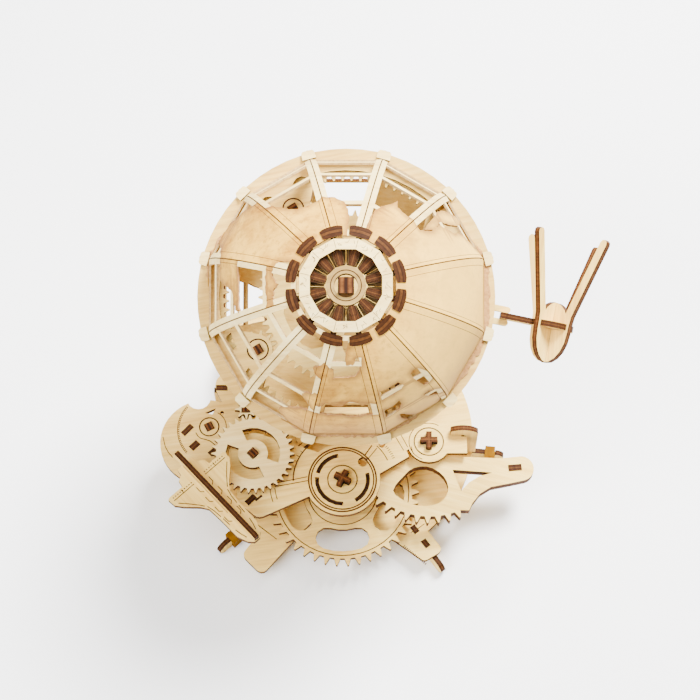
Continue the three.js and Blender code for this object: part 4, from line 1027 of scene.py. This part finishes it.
season_lines = [
    (arc_round(DIAL, 36.0, 126, 182), 0.75),
    ([(-25.6, -45.0), (-49.4, -50.0)], 0.55),
    ([(-25.4, -48.0), (-49.4, -52.7)], 0.55),
    (arc_round(DIAL, 53.4, 188, 199, 6), 0.5),
    (arc_round(DIAL, 49.8, 188, 198, 6), 0.5),
    ([(16.2, -28.6), (21.6, -20.6)], 0.7),
    ([(19.0, -30.8), (25.4, -22.6)], 0.5),
    (arc_round(DIAL, 36.2, 24, 46, 8), 0.55),
    (arc_round(DIAL, 47.5, 40, 52, 6), 0.5),
    (arc_round(LEVER, 14.6, 60, 250, 22), 0.45),
    ([(45.0, -24.6), (38.8, -13.4), (33.0, -6.4)], 0.45),
    ([(48.0, -22.0), (42.4, -11.0), (36.4, -3.4)], 0.45),
    ([(52.0, -27.4), (50.4, -21.4)], 0.45),
]
for i in range(9):
    a = rad(112 + 6.5 * i)
    long_tick = 2.4 if i % 3 == 0 else 1.4
    season_lines.append((tick(a, 36.6, 36.6 + long_tick), 0.4))
for i in range(7):
    a = rad(24 + 2.4 * i)
    season_lines.append((tick(a, 40, 42), 0.4))
engrave("season_lines", "root", BASE, DECK_TOP, season_lines)
engrave("season_slit", "root", BASE, DECK_TOP, [([(-63.2, -63.4), (-58.6, -59.4)], 1.3)], DARK)

LOBE = (-93.5, -7.75)  # middle of the left plate's round edge
plate_lines = [
    ([(-132.4, -13.8), (-130.4, -21.6), (-127.9, -26.2), (-124.6, -30.1)], 0.5),
    (circle(12.6, WASHER.x, WASHER.y, -8, 62, 10), 0.5),
    ([(-108.3, -10.5), (-106.6, -13.4), (-104.4, -15.1), (-101.4, -15.9), (-98.0, -16.9), (-95.2, -19.0),
      (-92.6, -21.4)], 0.55),
    (circle(28.4, *LOBE, 141, 222, 26), 0.4),
]
engrave("left_plate_lines", "root", BASE, DECK_TOP, plate_lines)
engrave("washer_line", "root", BASE, DECK_TOP, [(circle(7.1, WASHER.x, WASHER.y), 0.8)], DARK)
ARROW = ((1.1, 0), (-0.45, 0.62), (-0.45, -0.62))
verts, faces = [], []
for i in range(27):
    turn = Matrix.Rotation(rad(142 + 3.0 * i), 2)
    outline = [tuple(Vector(LOBE) + turn @ (Vector((27.5, 0)) + Vector(p))) for p in ARROW]
    prism(outline, DECK_TOP - LINE_DEPTH, DECK_TOP + LINE_RISE, verts, faces)
build("left_plate_arrows", "root", BASE, verts, faces, [LINE])


# ---------------------------------------------------------------- tenon ends in the plates
def tenon(name, body, matrix, x, y, length, width, angle, low, high):
    """End of an upright plate that shows through a slot."""
    verts, faces = [], []
    prism(turned_box(x, y, length, width, angle), low, high, verts, faces)
    spin = matrix @ Matrix.Translation((x, y, 0)) @ Matrix.Rotation(rad(angle), 4, "Z")
    axis = direction(spin, (0, 1, 0))
    wood = ply(axis, along(axis, spin @ Vector((0, -width / 2, 0))), width, edge_gain=UP_EDGE)
    return build(name, body, matrix, verts, faces, [wood])


tenon("deck_tenon_1", "root", BASE, -114.5, -8.5, 9.6, 4.4, 47, 48.4, 52.3)
tenon("deck_tenon_2", "root", BASE, -108.8, -20.7, 7.4, 5.0, 45, 48.4, 52.3)
tenon("lever_tenon", "lever", BASE, LEVER.x + 63.6, LEVER.y - 17.0, 9.4, 4.6, 5, 35.4, 42.9)
WASHER_PIN, WASHER_TURN_DEG = 6.0, 28
verts, faces = [], []
prism(turned_box(*WASHER, WASHER_PIN, WASHER_PIN, WASHER_TURN_DEG), 48.4, 53.4, verts, faces)
washer_wood = square_bar("washer_pin_wood", BASE @ Matrix.Translation((*WASHER, 0)), WASHER_TURN_DEG,
                         WASHER_PIN / 2, 2)
build("washer_pin", "root", BASE, verts, faces, [washer_wood])

# ---------------------------------------------------------------- burnt lines of wheels, base and shuttle
WHEEL_TOP = 24
wheel = BASE @ Matrix.Translation((*DIAL, 0))
engrave("big_wheel_lines", "dial", wheel, WHEEL_TOP, [(circle(49.3), 0.6), (circle(25.6), 0.6)])
base_lines = [
    ([(-63.8, -69.6), (-48.8, -81.3)], 0.5),
    ([(50.6, -76.2), (56.0, -73.0), (60.8, -69.4)], 0.5),
]
engrave("base_lines", "root", BASE, BASE_TOP, base_lines)
DASHES = 15
dashes = []
for i in range(DASHES):
    x, y = Vector((45.2, -87.2)).lerp(Vector((60.8, -100.8)), i / (DASHES - 1))
    dashes.append(([(x, y), (x + 0.9, y + 1.2)], 0.55))
engrave("base_arm_dashes", "root", BASE, BASE_TOP, dashes, DARK)

wing_lines = []
for sign in (1, -1):
    for points in (
        [(-62.8, 5.4), (-62.8, 24.4)],
        [(-59.4, 23.2), (-54.2, 18.3), (-48.2, 13.3), (-44.8, 10.8)],
        [(-43.4, 9.6), (-38, 8.3), (-31, 7.7)],
        [(-29, 7.5), (-22, 7.0)],
        [(-16.5, 6.6), (-11.5, 5.7), (-7, 4.3)],
    ):
        wing_lines.append(([(u, v * sign) for u, v in points], 0.5))
    for start in (-59.8, -49.8, -39.6, -29.4):
        wing_lines.append(([(start, 6.0 * sign), (start + 4.6, 6.0 * sign), (start + 6.4, 3.9 * sign)], 0.5))
    for i in range(9):
        v = (6.4 + 2.1 * i) * sign
        wing_lines.append(([(-65.2, v), (-64.4, v)], 0.8))
    wing_lines.append(([(-66.0, 15.2 * sign), (-62.8, 15.2 * sign)], 0.45))
engrave("shuttle_lines", "root", SHUTTLE, 0, wing_lines)

# ---------------------------------------------------------------- floor, light and camera
FLOOR_HALF = 4  # metres
floor_mesh = bpy.data.meshes.new("floor")
floor_corners = [(x * FLOOR_HALF, y * FLOOR_HALF, 0) for x, y in ((-1, -1), (1, -1), (1, 1), (-1, 1))]
floor_mesh.from_pydata(floor_corners, [], [(0, 1, 2, 3)])
floor = bpy.data.objects.new("floor", floor_mesh)
bpy.context.scene.collection.objects.link(floor)
floor_graph = Graph("floor_white")
floor_tone = floor_graph.ramp(floor_graph.noise(floor_graph.place, 3.0),
                              [(0.3, (0.90, 0.90, 0.905)), (0.7, (0.93, 0.93, 0.93))])
floor_graph.finish(floor_tone, 0.7)
floor_mesh.materials.append(floor_graph.material)
floor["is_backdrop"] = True


LIGHTS_AIM = Vector((0, 0, 0.1))


def area_light(name, place, size, power):
    """A soft white disc; place and size in metres, power in watts."""
    data = bpy.data.lights.new(name, "AREA")
    data.shape = "DISK"
    data.size = size
    data.energy = power
    light = bpy.data.objects.new(name, data)
    light.location = place
    light.rotation_euler = (LIGHTS_AIM - Vector(place)).to_track_quat("-Z", "Y").to_euler()
    bpy.context.scene.collection.objects.link(light)


area_light("key", (0.6, 0.75, 1.6), 0.7, 182)
area_light("fill", (-1.1, -0.7, 1.3), 1.2, 50)
area_light("top", (-0.3, -0.1, 2.0), 1.4, 34)
world = bpy.data.worlds.new("studio")
bpy.context.scene.world = world
world.use_nodes = True
world.node_tree.nodes["Background"].inputs["Color"].default_value = (1, 1, 1, 1)
world.node_tree.nodes["Background"].inputs["Strength"].default_value = 0.42

CAMERA_TARGET = Vector((-0.0155, 0.02775, 0.0935))  # metres
CAMERA_DISTANCE = 1.402
CAMERA_ELEVATION = rad(66.9)
camera_data = bpy.data.cameras.new("camera")
camera_data.lens = 99.05
camera_data.sensor_width = 36
camera = bpy.data.objects.new("camera", camera_data)
back = Vector((0, -math.cos(CAMERA_ELEVATION), math.sin(CAMERA_ELEVATION)))
camera.location = CAMERA_TARGET + back * CAMERA_DISTANCE
camera.rotation_euler = (math.pi / 2 - CAMERA_ELEVATION, 0, 0)
bpy.context.scene.collection.objects.link(camera)
bpy.context.scene.camera = camera

# ---------------------------------------------------------------- sizes and the end
low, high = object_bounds()
